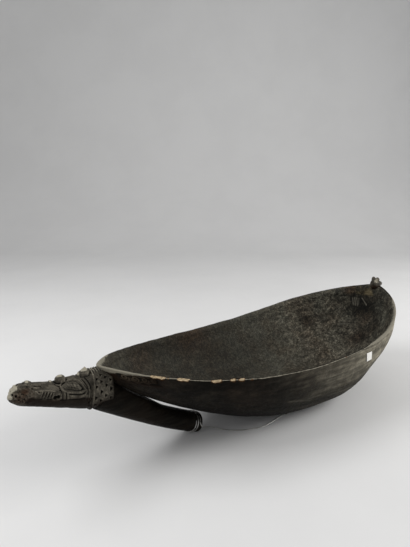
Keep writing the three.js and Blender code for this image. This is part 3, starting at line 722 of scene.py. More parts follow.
def belly(line, shares, oval, curves, sizes):
    """Rings from the rim down to an oval floor, as many as there are shares of the way down."""
    half_length, half_width, level = oval
    turn = np.arctan2(line[:, 1] / (sizes.half_width / MM), (line[:, 0] - BASE_AT) / (sizes.length / MM / 2))
    end_curve = np.where(np.cos(turn) < 0, curves[0], curves[2])
    curve = curves[1] + (end_curve - curves[1]) * np.cos(turn) ** 2
    angle = np.asarray(shares)[:, None] * math.pi / 2
    out = np.clip(np.cos(angle), 0, 1) ** curve
    down = np.clip(np.sin(angle), 0, 1) ** curve
    x = (BASE_AT + half_length * np.cos(turn)) * (1 - out) + line[:, 0] * out
    y = half_width * np.sin(turn) * (1 - out) + line[:, 1] * out
    z = (rim_level(line[:, 0], sizes) - EDGE_ROUND) * (1 - down) + level * down
    return np.stack([x, y, z], -1)


def along_rim(line):
    """Millimetres along the rim from its nose for each column, and its side: 1 far and -1 near."""
    steps = np.linalg.norm(np.diff(np.vstack([line, line[:1]]), axis=0), axis=1)
    length = np.concatenate([[0], np.cumsum(steps)[:-1]])
    total = steps.sum()
    far = length <= total / 2
    return np.where(far, length, total - length), np.where(far, 1, -1)


def chip_size(along, side):
    """How much of the rim's outer edge is broken away in each column, with small nicks between the chips."""
    size = np.zeros(len(along))
    ragged = lumps(np.stack([along, along * 0, along * 0], -1), *CHIP_GRAIN)
    for middle, half_length, depth in CHIPS:
        inside = np.clip(1 - ((along - middle) / half_length) ** 2, 0, 1) ** CHIP_FULLNESS
        size = np.maximum(size, inside * (depth + CHIP_RAGGEDNESS * ragged) * (side < 0))
    nicks = lumps(np.stack([along, side * SIDES_APART, along * 0], -1), *NICK_GRAIN)
    return np.maximum(size, np.clip(nicks - NICKS_ABOVE, 0, 1) * NICK_SIZE)


def nearest_stroke(places, strokes):
    """Distance from each place to the nearest point of some strokes."""
    return np.min(np.linalg.norm(places[:, None] - strokes[None], axis=-1), axis=1)


def scroll_relief(along, drop):
    """Height of the scroll band on the hull, from its place along and below the rim, and its ridges."""
    strokes = [catmull(line, np.linspace(0, 1, LINE_POINTS)) for line in SCROLL_LINES]
    turn = np.linspace(0, SCROLL_TURNS * 2 * math.pi, SPIRAL_POINTS)
    for middle, level, radius, way in SCROLLS:
        reach = radius * (1 - SCROLL_CLOSING * turn / turn[-1])
        strokes.append(np.stack([middle + way * reach * np.cos(turn), level + reach * np.sin(turn)], -1))
    strokes = np.vstack(strokes)
    start, end, top, foot = SCROLL_BAND
    by_start, by_end, by_top, by_foot = SCROLL_FADES
    within = ramp(along, start, start + by_start) * ramp(along, end, end - by_end)
    within = within * ramp(drop, top, top + by_top) * ramp(drop, foot, foot - by_foot)
    busy = within > 0
    places = np.stack([along, drop], -1)[busy]
    starts = range(0, len(places), AT_A_TIME)
    nearest = [nearest_stroke(places[i : i + AT_A_TIME], strokes) for i in starts]
    ridge = np.zeros(along.shape)
    ridge[busy] = ramp(np.concatenate(nearest), *(SCROLL_HALF_WIDTH * share for share in SCROLL_FLANKS))
    faded = ramp(along, end, start + RIDGE_FADE_ALONG) * ramp(drop, foot, foot - RIDGE_FADE_BELOW)
    return within * (ridge - 1) * SCROLL_DEPTH, within * ridge * faded


def tones(points, places):
    """The sum of soft round patches, each a middle, a radius and a strength."""
    total = np.zeros(points.shape[:-1])
    for middle, radius, strength in places:
        total += strength * np.exp(-((points - np.array(middle)) ** 2).sum(-1) / radius**2)
    return total


def scratch_marks(points, scratches, across):
    """How pale each scratch leaves the wood and how dark its sides are; across weighs distances along y."""
    pale = np.zeros(points.shape[:-1])
    dark = np.zeros(points.shape[:-1])
    for start, end, strength in scratches:
        start, end = np.array(start, float), np.array(end, float)
        way = end - start
        share = np.clip(((points - start) @ way) / (way @ way), 0, 1)
        distance = np.linalg.norm((points - start - share[..., None] * way) * [1, across, 1], axis=-1)
        pale = np.maximum(pale, strength * ramp(distance, *SCRATCH_FADE))
        dark = np.maximum(dark, strength * ramp(np.abs(distance - SCRATCH_SIDES_AT), *SCRATCH_SIDES_FADE))
    return pale, dark * (pale < SIDES_SHOW_BELOW)


def flank_relief(x, z):
    return sum(
        height * bell(x, middle, reach) * ramp(z, *rising) * ramp(z, *falling)
        for middle, reach, height, rising, falling in FLANK_BULGES
    )


def dish_rows(outer, inner, sizes):
    """Rings from the base up the hull, over edge and lip and down the hollow, and how many of each."""
    upper, lower = HULL_ROWS
    down = np.concatenate([np.linspace(0, NEAR_RIM, upper), np.linspace(NEAR_RIM, 1, lower)[1:]])
    hull = belly(outer, down, BASE_OVAL, HULL_CURVES, sizes)[::-1]
    hollow = belly(inner, np.linspace(0, 1, HOLLOW_ROWS), HOLLOW_OVAL, HOLLOW_CURVES, sizes)[1:]
    edge = []
    for turn in np.linspace(0, math.pi / 2, EDGE_ROWS)[1:]:
        inset = EDGE_ROUND * (1 - math.cos(turn))
        line = rim_line((inset,) * 3, (TIP_BLUNTNESS - inset,) * 2, sizes)
        level = rim_level(line[:, 0], sizes) - EDGE_ROUND * (1 - math.sin(turn))
        edge.append(np.column_stack([line, level]))
    lip = []
    for share in np.linspace(0, 1, LIP_ROWS)[1:]:
        line = edge[-1][:, :2] * (1 - share) + inner * share
        lip.append(np.column_stack([line, rim_level(line[:, 0], sizes) - EDGE_ROUND * share**2]))
    return np.concatenate([hull, edge, lip, hollow]), len(hull), len(edge), len(lip)


def inside_edge(outer, rows):
    """The level way inward from each column of the rim, and how far each point lies inside its edge."""
    forward = np.gradient(outer, axis=0)
    inward = np.stack([-forward[:, 1], forward[:, 0]], -1)
    inward /= np.linalg.norm(inward, axis=1, keepdims=True)
    inset = np.einsum("rck,ck->rc", rows[..., :2] - outer[None], inward)
    facing = np.sign(np.median(inset[-1]))
    return inward * facing, inset * facing


def build_dish(sizes):
    outer = rim_line((0, 0, 0), (TIP_BLUNTNESS, TIP_BLUNTNESS), sizes)
    inner = rim_line(WALLS, INNER_BLUNTNESS, sizes)
    rows, hull_rows, edge_rows, lip_rows = dish_rows(outer, inner, sizes)
    row = np.arange(len(rows))[:, None]
    is_hull = row < hull_rows
    is_hollow = row >= hull_rows + edge_rows
    by_rim = row < hull_rows + edge_rows + lip_rows
    x, z = rows[..., 0], rows[..., 2]
    along, side = along_rim(outer)
    drop = rim_level(x, sizes) - z
    pale, dark = scratch_marks(rows, HOLLOW_SCRATCHES, 1)
    streak, _ = scratch_marks(rows, HULL_SCRATCHES, HULL_SCRATCH_ACROSS)
    band, ridge = scroll_relief(np.broadcast_to(along, drop.shape), np.where(is_hull, drop, np.inf))

    hewn = (uneven(rows, HULL_HEWN) - HULL_SUNK + flank_relief(x, z)) * ramp(z, *HEWN_Z)
    gouged = uneven(rows, HOLLOW_GOUGES) - SCRATCH_DEPTH * pale
    relief = np.where(is_hull, hewn, 0) + np.where(is_hollow, gouged, 0)
    moved = rows + grid_normals(rows) * (relief + band)[..., None]
    lip_share = np.clip((row - hull_rows - edge_rows) / lip_rows, 0, 1) ** LIP_BEND
    sunk = LIP_DROP + LIP_DROP_BY_WALL * np.linalg.norm(outer - inner, axis=1)
    moved[..., 2] -= sunk * lip_share * np.exp(-np.clip(drop - LIP_FADE_FROM, 0, None) / LIP_FADE)
    wave = uneven(np.column_stack([outer, 0 * along]), RIM_WAVE) - RIM_SUNK
    moved[..., 2] += wave * (1 - ramp(drop, *WAVE_BELOW))

    # Chips take away what lies within their size of the rim's outer corner
    size = chip_size(along, side)
    inward, inset = inside_edge(outer, rows)
    depth_in = inset + drop + uneven(rows, CHIP_SURFACE)
    broken = np.clip(size - depth_in, 0, None) * by_rim
    moved[..., :2] += inward * broken[..., None] / 2
    moved[..., 2] -= broken / 2
    moved[..., 2] += uneven(rows, CHIP_SPLINTERS) * (broken > SPLINTERS_ABOVE)
    half_width = sizes.half_width / MM
    moved[..., 1] = np.clip(moved[..., 1], -half_width, half_width)
    moved[..., 2] = np.maximum(moved[..., 2], 0)

    # The edge is rubbed furthest by the nose, where a painted highlight is laid too, and carries a painted
    # highlight on the near side by the tail
    corner = np.hypot(np.clip(inset, 0, None), drop)
    by_nose = ramp(along, *NOSE_WEAR_AND_HIGHLIGHT_ALONG)
    by_tail = ramp(x, *TAIL_HIGHLIGHT_FROM) * ramp(x, *TAIL_HIGHLIGHT_TO) * (side < 0)
    reach = WEAR_REACH + NOSE_WEAR_AND_HIGHLIGHT_REACH * by_nose + TAIL_HIGHLIGHT_REACH * by_tail
    paleness = bell(corner, 0, reach) * by_rim * np.maximum(np.where(side < 0, 1, FAR_WEAR), by_nose)
    margin = MARGIN_STRENGTH - (depth_in - size) / MARGIN_REACH
    shelf = ramp(x, *SHELF_X) * bell(drop, 0, SHELF_DEPTH, 4) * ~is_hull
    marks = {
        "chip": np.clip(broken / RAW_IN_FULL, 0, 1) * (size > RAW_FROM),
        # Wear, with painted highlights by the nose and on the near side by the tail
        "edge": paleness * (1 - TAIL_HIGHLIGHT_LOSS * by_tail * ramp(corner, *TAIL_HIGHLIGHT_LOSS_OFF)),
        "band": np.clip(-band / SCROLL_DEPTH, 0, 1),
        "ridge": ridge,
        "carved": ramp(along, *CARVED_ALONG) * ramp(drop, *CARVED_BELOW) * is_hull,
        "margin": np.clip(margin, 0, 1) * (size > MARGIN_FROM) * is_hull,
        # Painted shade, deeper further below the rim
        "low": ramp(drop, *UNDERSIDE_SHADE_BELOW) * is_hull,
        # Painted sheen towards the tail, laid with the grey bloom
        "sheen": ramp(x, *SHEEN_X) ** SHEEN_BEND * is_hull,
        "rough": ramp(x, *ROUGH_X) * ~is_hull,
        # The hollow's tone, partly painted light and shade
        "tone": 0.5 + 0.5 * np.clip(tones(rows, HOLLOW_TONES_AND_LIGHT), -1, 1),
        "ruddy": np.clip(tones(rows, RUDDY_TONES), 0, 1),
        "lug": np.clip(tones(rows, LUG_TONES) * shelf, 0, 1),
        # Painted highlight on the shelf
        "shine": np.clip(tones(rows, PAINTED_SHINE_TONES) * shelf, 0, 1),
        "deep": dark * is_hollow,
        "burr": np.where(is_hollow, pale, streak * is_hull),
    }
    ends = ((BASE_AT, 0, 0), (BASE_AT, 0, HOLLOW_OVAL[2]))
    woods = ("smoked_wood_outside", "scraped_wood_inside")
    dish = closed_grid("carved_dish", moved, ends, marks, woods, "dish")
    # Faces from the lip inward have the second material; those round the base's middle point keep the first
    first_corner = np.array([polygon.vertices[0] for polygon in dish.data.polygons])
    from_lip = first_corner >= (hull_rows + edge_rows) * len(outer)
    inside = from_lip & (first_corner != len(rows) * len(outer))
    dish.data.polygons.foreach_set("material_index", inside.astype(np.int32))


def star_reach(centre, balls, ways, blend):
    """How far a skin round some stretched balls lies from a point inside them all, each way."""
    reach = []
    for place, half_sizes in balls:
        offset = (np.array(place) - centre) / half_sizes
        scaled = ways / half_sizes
        a = (scaled**2).sum(-1)
        b = (scaled * offset).sum(-1)
        inside = b**2 - a * ((offset**2).sum() - 1)
        reach.append(np.where(inside > 0, (b + np.sqrt(np.maximum(inside, 0))) / a, 0))
    return blend * np.log(np.exp(np.array(reach) / blend).sum(0))


def build_tail_knob(sizes):
    """A small head with two ears and a blunt muzzle, left standing on the rim at the tail."""
    length = sizes.length / MM
    root = float(rim_level(np.array(length), sizes))
    foot = np.array([length, 0, root])
    centre = foot + KNOB_CENTRE
    balls = [(foot + place, half_sizes) for place, half_sizes in KNOB_BALLS]
    down, turn = grid(np.linspace(0, math.pi, KNOB_GRID[0])[-2:0:-1], angles(KNOB_GRID[1]))
    ways = np.stack([np.sin(down) * np.cos(turn), np.sin(down) * np.sin(turn), np.cos(down)], -1)
    reach = star_reach(centre, balls, ways, KNOB_BLEND)
    rows = centre + ways * reach[..., None]
    rows = rows + ways * uneven(rows, KNOB_HEWN)[..., None]
    ends = [centre + np.array([0, 0, way * reach[at].mean()]) for at, way in ((0, -1), (-1, 1))]
    above = rows[..., 2] - root
    marks = {
        # Painted light on the knob's top and painted shade below, through the carving's shading of raised
        # places
        "raised": ramp(above, *KNOB_PALE_ABOVE) - 0.3,
        # Painted highlights on the knob's near face
        "worn": tones(rows - foot, KNOB_HIGHLIGHTS),
        "ruddy": ramp(above, *KNOB_RUDDY_BELOW) * 0.8,
        # Painted shade on the knob's lower part
        "jaw": ramp(above, *KNOB_DARK_BELOW) * 0.5,
    }
    closed_grid("tail_knob", rows, ends, marks, ("carved_wood",), "dish")


def section_at(ahead):
    """The head's top, depth and half-width at places ahead of the collar."""
    table = catmull(HEAD_STATIONS, np.linspace(0, 1, 1500))
    order = np.argsort(table[:, 0])
    return [np.interp(ahead, table[order, 0], table[order, k]) for k in (1, 2, 3)]


def head_points(ahead, turn, sizes):
    top, depth, half_width = section_at(ahead)
    up = depth / 2 * signed_power(np.cos(turn), SQUARENESS)
    y = half_width * signed_power(np.sin(turn), SQUARENESS)
    return np.stack([COLLAR_AT - ahead + HEAD_TILT * up, y, nose_level(sizes) - top - depth / 2 + up], -1)


def line_relief(points, stroke, half_width):
    """How near points are to a carved line, from 0 at its edge to 1 on it."""
    places = catmull(stroke, np.linspace(0, 1, STROKE_POINTS * len(stroke)))
    nearness = np.zeros(points.shape[:-1])
    close = ((points > places.min(0) - half_width) & (points < places.max(0) + half_width)).all(-1)
    if close.any():
        nearness[close] = ramp(nearest_stroke(points[close], places), half_width, half_width * LINE_FLAT)
    return nearness


def head_relief(points, sizes):
    """Heights of the raised and the sunk carving on the head's sides, which mirror each other."""
    mirrored = np.stack([points[..., 0], np.abs(points[..., 1]), points[..., 2]], -1)
    raised = np.zeros(points.shape[:-1])
    sunk = np.zeros(points.shape[:-1])
    for height, half_width, stroke in CARVED_LINES:
        ahead, degrees = np.array(stroke, float).T
        near = line_relief(mirrored, head_points(ahead, np.radians(degrees), sizes), half_width) * height
        raised = np.maximum(raised, near)
        sunk = np.minimum(sunk, near)
    for place, degrees, radius, depth in SINKINGS:
        middle = head_points(np.array(place), np.radians(degrees), sizes)
        distance = np.linalg.norm(mirrored - middle, axis=-1)
        sunk = np.minimum(sunk, -depth * ramp(distance, radius, radius * SINKING_FLAT))
    return raised, sunk


def bump_level(ahead, y, sizes):
    """Level of the bumps on top of the head, how rubbed and lit by a painted highlight they are at each
    point, and the eye's ring.
    """
    level = np.full(ahead.shape, -np.inf)
    worn = np.zeros(ahead.shape)
    ring = np.zeros(ahead.shape)
    for place, rise, half_length, half_width, bluntness in BUMPS:
        length = half_length * np.where((bluntness < 1) & (ahead > place), POINT_STRETCH, 1)
        reach = ((ahead - place) / length) ** 2 + (y / half_width) ** 2
        half_height = (rise + BUMP_ROOT) / 2
        dome = np.clip(1 - reach**bluntness, 0, 1) ** (1.5 - bluntness)
        foot = nose_level(sizes) - section_at(place)[0] + rise - half_height
        level = np.maximum(level, np.where(dome > 0, foot + half_height * dome, -np.inf))
        pale_from, pale_to = BALL_PALE if bluntness == 1 else POINT_PALE
        paleness = ramp(dome, pale_from, pale_to) * ramp((ahead - place) / half_length, *PALE_BEHIND)
        worn = np.maximum(worn, paleness)
        if place == EYE_AT:
            ring = ramp(np.abs(np.sqrt(reach) - RING_AT), *RING_FADE)
    return level, worn, ring


def above_mean(height, cells=MEAN_CELLS):
    """How far each point of a grid that closes round its columns stands above the mean round it."""
    padded = np.pad(height, ((cells, cells), (0, 0)), mode="edge")
    moves = list(itertools.product(range(0, 2 * cells + 1, 2), range(-cells, cells + 1, 2)))
    total = sum(np.roll(padded[down : down + len(height)], aside, axis=1) for down, aside in moves)
    return height - total / len(moves)


def build_head(sizes):
    first, last = HEAD_STATIONS[0, 0], HEAD_STATIONS[-1, 0]
    ahead, turn = grid(np.linspace(first, last, HEAD_GRID[0]), angles(HEAD_GRID[1]))
    away = np.abs(half_turn(turn))
    on_top = away < TOP_ANGLE
    rows = head_points(ahead, turn, sizes)
    raised, sunk = head_relief(rows, sizes)
    level, bump_highlight_and_wear, ring = bump_level(ahead, rows[..., 1], sizes)
    rugged = ramp(ahead, *RUGGED_AHEAD) * ramp(away, *RUGGED_ROUND)
    hewn = uneven(rows, HEAD_HEWN) + rugged * uneven(rows, SNOUT_RUGGED)
    height = (raised + sunk) * ramp(ahead, *CARVING_AHEAD) + hewn - HEAD_SUNK - RING_DEPTH * ring * on_top
    moved = rows + grid_normals(rows) * height[..., None]
    lifted = np.clip(np.where(on_top, level - moved[..., 2], 0), 0, None)
    moved[..., 2] += lifted + CHIN_RISE * ramp(ahead, *CHIN_AHEAD) * np.clip(-np.cos(turn), 0, 1)

    # The snout ends in a round cap
    tip = np.array([COLLAR_AT - first - SNOUT_TIP, 0, rows[0, :, 2].mean()])
    cap = []
    for share in SNOUT_CAP:
        hoop = tip + (moved[0] - tip) * share
        hoop[:, 0] = tip[0] + (moved[0, :, 0] - tip[0]) * (1 - math.sqrt(1 - share**2))
        cap.append(hoop)
    snout = ramp(ahead, *PALE_SNOUT_AHEAD) * ramp(away, *PALE_SNOUT_ROUND) * PALE_SNOUT
    over = ramp(ahead, *PALE_TOP_AHEAD) * ramp(away, *PALE_TOP_ROUND)
    jaw_edge = away + uneven(rows, JAW_RAGGED)
    marks = {
        # Raised places get a painted highlight and sunk ones a painted shade in the carved wood
        "raised": above_mean(height + lifted * BUMP_SHADE),
        # Wear and painted highlights on the bumps, the snout and the top of the nose
        "worn": np.maximum(bump_highlight_and_wear * on_top, np.maximum(snout, over)),
        "ruddy": bell(ahead, *RUDDY_AHEAD) * bell(away, *RUDDY_ROUND, 4),
        # Painted shade under the jaw
        "jaw": ramp(jaw_edge, *JAW_ROUND) * ramp(ahead, *JAW_AHEAD),
    }
    for mark, values in marks.items():
        marks[mark] = np.concatenate([np.repeat(values[:1], len(cap), axis=0), values])
    moved = np.concatenate([cap, moved])
    ends = (tip, rows[-1].mean(0))
    closed_grid("crocodile_head", moved, ends, marks, ("carved_wood",), "crocodile_handle")


def collar_points(along, turn, swell, sizes):
    up = (COLLAR_DEPTH / 2 + swell) * signed_power(np.cos(turn), SQUARENESS)
    y = (COLLAR_HALF_WIDTH + swell) * signed_power(np.sin(turn), SQUARENESS)
    tilt = HEAD_TILT * (1 - along / COLLAR_LENGTH)
    middle = nose_level(sizes) - COLLAR_TOP - COLLAR_DEPTH / 2
    return np.stack([COLLAR_AT + along + tilt * up, y, middle + up], -1)


def pit_relief(along, turn):
    """Depth of the collar's three-sided pits, each a little out of its place."""
    mean_radius = (COLLAR_DEPTH / 2 + COLLAR_HALF_WIDTH) / 2
    per_column = round(2 * math.pi * mean_radius / PIT_PITCH_AROUND)
    sunk = np.zeros(along.shape)
    for column, row in itertools.product(range(PIT_COLUMNS), range(per_column)):
        middle = (row + column % 2 / 2) / per_column * 2 * math.pi
        if math.cos(middle) > math.cos(BARE_TOP_ANGLE):
            continue
        draws = [(column * a, row * b, c) for a, b, c in STRAY_STEPS]
        stray = PIT_STRAY * lumps(np.array(draws), *STRAY_GRAIN)
        u = along - FIRST_PIT - column * PIT_PITCH_ALONG - stray[0]
        v = half_turn(turn - middle) * mean_radius + stray[1]
        reach = np.maximum(np.maximum(-u, u / 2 + v * PIT_SLANT), u / 2 - v * PIT_SLANT)
        sunk = np.minimum(sunk, -PIT_DEPTH * ramp(reach / (PIT_RADIUS * PIT_FULLNESS), *PIT_FLANKS))
    return sunk


def tuck_under(points, gap):
    """Lowers the points that would lie in the hull to a gap below it, the same for all or one for each."""
    tree = hull_tree()
    low = points.reshape(-1, 3).copy()
    gaps = np.broadcast_to(gap, points.shape[:-1]).reshape(-1)
    for i, place in enumerate(to_frame(low)):
        hit = tree.ray_cast(Vector((place[0], place[1], -0.01)), Vector((0, 0, 1)))
        if hit[0] is not None and place[2] > hit[0].z - gaps[i] * MM:
            low[i, 2] = hit[0].z / MM - gaps[i]
    return low.reshape(points.shape)


def build_collar(sizes):
    along, turn = grid(np.linspace(0, COLLAR_LENGTH, COLLAR_GRID[0]), angles(COLLAR_GRID[1]))
    bead = ramp(along, *BEAD_FROM) * ramp(along, *BEAD_TO)
    swell = BEAD_HEIGHT * bead - FRONT_ROUND * ramp(along, *FRONT_EDGE)
    swell = swell - BACK_ROUND * ramp(along, *BACK_EDGE)
    rows = collar_points(along, turn, swell, sizes)
    away = np.abs(half_turn(turn))
    pits = pit_relief(along, turn) * ramp(along, *PITS_FROM)
    # A fringe of uneven teeth runs along the top
    stagger = along / FRINGE_PITCH + uneven(rows, FRINGE_STAGGER)
    teeth = ramp(np.abs(stagger % 1 - 0.5) * 2, *TOOTH_FLANKS)
    teeth = teeth * ramp(uneven(rows, FRINGE_GAPS), *TEETH_LEFT)
    teeth = teeth * ramp(away, *FRINGE_ROUND) * ramp(along, *FRINGE_FROM)
    height = pits + teeth * FRINGE_HEIGHT + uneven(rows, COLLAR_HEWN) - HEAD_SUNK
    moved = tuck_under(rows + grid_normals(rows) * height[..., None], SEAT_CLEARANCE)
    paleness = TOOTH_PALENESS * ramp(teeth, *PALE_TEETH) + bead * ramp(away, *PALE_BEAD_ROUND) * BEAD_PALENESS
    marks = {
        # Raised places get a painted highlight and pits a painted shade in the carved wood
        "raised": above_mean(height + bead),
        # Wear and painted highlight on the teeth and the bead's top
        "worn": np.clip(paleness, 0, 1),
        # Painted shade on the underside and the back
        "jaw": np.maximum(ramp(away, *DARK_ROUND), BACK_DARKNESS * ramp(along, *DARK_BACK)),
    }
    ends = (rows[0].mean(0), moved[-1].mean(0))
    closed_grid("pitted_collar", moved, ends, marks, ("carved_wood",), "crocodile_handle")


def neck_frame(share):
    """The neck's middle line and its tangent at shares of its length."""
    step = 1e-3
    before, after = (bezier(NECK_LINE, np.clip(np.asarray(share) + move, 0, 1)) for move in (-step, step))
    tangent = after - before
    return bezier(NECK_LINE, share), tangent / np.linalg.norm(tangent, axis=-1, keepdims=True)


def neck_length():
    fine = bezier(NECK_LINE, np.linspace(0, 1, 400))
    return float(np.linalg.norm(np.diff(fine, axis=0), axis=1).sum())


def neck_points(share, turn, swell):
    line, tangent = neck_frame(share)
    up = (NECK_HALF_HEIGHT + swell) * np.cos(turn)
    half_width = NECK_HALF_WIDTH + (FOOT_HALF_WIDTH - NECK_HALF_WIDTH) * share + swell
    x = line[..., 0] - tangent[..., 1] * up
    z = line[..., 1] + tangent[..., 0] * up
    return np.stack([x, half_width * np.sin(turn), z], -1)


def build_neck(sizes):
    """The neck from the collar to its foot, with a notch for the wire and an open sliver under the hull."""
    length = neck_length()
    notch_to = length - NOTCH_BEFORE_FOOT
    notch_from = notch_to - NOTCH_WIDTH
    before_notch = np.linspace(0, notch_from - 1, NECK_ROWS[0])
    stations = np.concatenate([before_notch, np.linspace(notch_from - 0.5, length, NECK_ROWS[1])])
    along, turn = grid(stations, angles(NECK_COLUMNS))
    cut = ramp(along, notch_from, notch_from + 2) * ramp(along, notch_to, notch_to - 2)
    rows = neck_points(along / length, turn, -NOTCH_DEPTH * cut)
    foot = rows[-1].mean(0)
    _, tangent = neck_frame(np.array(1.0))
    onward = np.array([tangent[0], 0, tangent[1]]) * FOOT_ROUND
    cap = []
    for angle in np.linspace(0, math.pi / 2, FOOT_ROWS)[1:-1]:
        cap.append(foot + (rows[-1] - foot) * math.cos(angle) + onward * math.sin(angle))
    full = np.concatenate([rows, cap])
    x = full[..., 0]
    raised = full + grid_normals(full) * (uneven(full, NECK_HEWN) - NECK_SUNK)[..., None]
    raised[..., 2] += NECK_WEB * np.clip(np.cos(angles(NECK_COLUMNS)), 0, 1) ** WEB_BEND * ramp(x, *WEB_X)
    gap = SEAT_CLEARANCE + (NECK_GAP - SEAT_CLEARANCE) * ramp(x, *GAP_X)
    moved = tuck_under(raised, gap)
    moved[..., 2] = np.maximum(moved[..., 2], 0)
    ends = (rows[0].mean(0), moved[-1].mean(0) + onward * FOOT_TIP)
    marks = {"scuff": ramp(x, *SCUFF_X)}
    closed_grid("handle_neck", moved, ends, marks, ("smoked_wood_neck",), "crocodile_handle")


def build_pegs(sizes):
    """The frame's own pegs stay as they are, in plain wood."""
    for node in ("collar_dowel_near", "collar_dowel_far"):
        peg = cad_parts[node]
        peg.data.materials.clear()
        peg.data.materials.append(look("peg_wood"))


def wire_curve(name, points, radius, replaced):
    """One open wire of round section along points in millimetres."""
    data = bpy.data.curves.new(name, "CURVE")
    data.dimensions = "3D"
    data.bevel_depth = radius
    data.bevel_resolution = SECTION_ROUNDING
    data.use_fill_caps = True
    spline = data.splines.new("POLY")
    spline.points.add(len(points) - 1)
    spline.points.foreach_set("co", np.column_stack([to_frame(points), np.ones(len(points))]).ravel())
    spline.use_smooth = True
    data.materials.append(look("drawn_wire"))
    wire = bpy.data.objects.new(name, data)
    bpy.context.scene.collection.objects.link(wire)
    return settle(wire, replaced)


def build_wire(sizes):
    """The free stretch, the turns round the neck and the eye."""
    radius = sizes.diameter / 2
    route = catmull(np.array(WIRE_ROUTE), np.linspace(0, 1, ROUTE_POINTS * len(WIRE_ROUTE)))
    free = wire_curve("free_wire", route, radius, "hanging_wire")
    length = neck_length()
    first = length - NOTCH_BEFORE_FOOT - (NOTCH_WIDTH + TURNS * TURN_PITCH) / 2
    done = np.linspace(0, TURNS, TURN_POINTS)
    out = WIRE_CLEARANCE + radius / MM - NOTCH_DEPTH
    helix = neck_points((first + done * TURN_PITCH) / length, TURN_START - done * 2 * math.pi, out)
    wire_curve("wire_turns", helix, radius, "neck_turns")
    eye = build_eye(sizes)
    measured = float(np.linalg.norm(np.diff(to_frame(route), axis=0), axis=1).sum())
    tuple(to_frame(route[0]))


def nail_seat():
    """The middle of the wire's eye, the way that the nail stands out of the hull, and two ways across."""
    nail = node_points("wire_nail")
    middle = node_points("wire_eye").mean(0)
    outward = middle - nail[np.argmax(nail[:, 2])]
    outward = outward / np.linalg.norm(outward)
    aside = np.cross(outward, [0, 1, 0])
    aside /= np.linalg.norm(aside)
    return middle, outward, aside, np.cross(outward, aside)


def build_eye(sizes):
    """The wire's last turn, bent into an eye under the nail's head."""
    middle, outward, aside, across = nail_seat()
    radius = sizes.diameter / 2 / MM
    turn, section = (part[..., None] for part in grid(*map(angles, EYE_GRID)))
    way = aside * np.cos(turn) + across * np.sin(turn)
    reach = sizes.eye_radius / MM + radius * np.cos(section)
    points = middle + way * reach + outward * (radius * np.sin(section))
    faces = grid_faces(*points.shape[:2], over=True)
    flat = points.reshape(-1, 3)
    return new_piece("wire_eye_ring", flat, faces, {}, ("drawn_wire",), "wire_eye")


def build_nail(sizes):
    """A small round-headed nail, from its point in the hull to its head."""
    middle, outward, aside, across = nail_seat()
    out = WIRE_CLEARANCE + sizes.diameter / 2 / MM
    surface = middle - outward * out
    profile = (*NAIL_SHANK, *((reach, 2 * out + level) for reach, level in NAIL_HEAD))
    turn = angles(NAIL_COLUMNS)[:, None]
    way = np.cos(turn) * aside + np.sin(turn) * across
    rows = np.array([surface + way * reach + outward * level for reach, level in profile])
    ends = (surface + outward * profile[0][1], surface + outward * profile[-1][1])
    closed_grid("round_nail", rows, ends, {}, ("nail_iron",), "wire_nail")


def build_label(sizes):
    """A blank paper label that follows the hull, with its corners a little lifted."""
    solid = node_points("paper_label")
    middle, high = (solid.min(0) + solid.max(0)) / 2, solid.max(0)
    tree = hull_tree()
    down, across = grid(*(np.linspace(0, 1, count) for count in LABEL_GRID))
    z = high[2] - LABEL_DROP - LABEL_HEIGHT * down
    x = middle[0] + LABEL_SHIFT + (across - 0.5) * sizes.label_width / MM
    x = x + math.tan(sizes.label_lean) * (middle[2] - z)
    y = np.full(x.shape, high[1])
    for at in np.ndindex(x.shape):
        hit = tree.ray_cast(Vector(to_frame((x[at], -200.0, z[at]))), Vector((0, 1, 0)))
        if hit[0] is not None:
            y[at] = hit[0].y / MM
    y = y - LABEL_CURL * (np.abs(across - 0.5) * 2) ** CURL_BEND * (np.abs(down - 0.5) * 2) ** CURL_BEND
    sheets = [np.stack([x, y - depth, z], -1).reshape(-1, 3) for depth in (LABEL_FRONT, LABEL_BACK)]
    count = x.size
    faces = grid_faces(*x.shape, around=False)
    back = [tuple(count + i for i in reversed(face)) for face in faces]
    index = np.arange(count).reshape(x.shape)
    rim = np.concatenate([index[0], index[1:, -1], index[-1, -2::-1], index[-2:0:-1, 0]]).tolist()
    sides = [(after, corner, count + corner, count + after) for corner, after in zip(rim, rim[1:] + rim[:1])]
    faces += back + sides
    new_piece("blank_label", np.vstack(sheets), faces, {}, ("label_paper",), "paper_label")


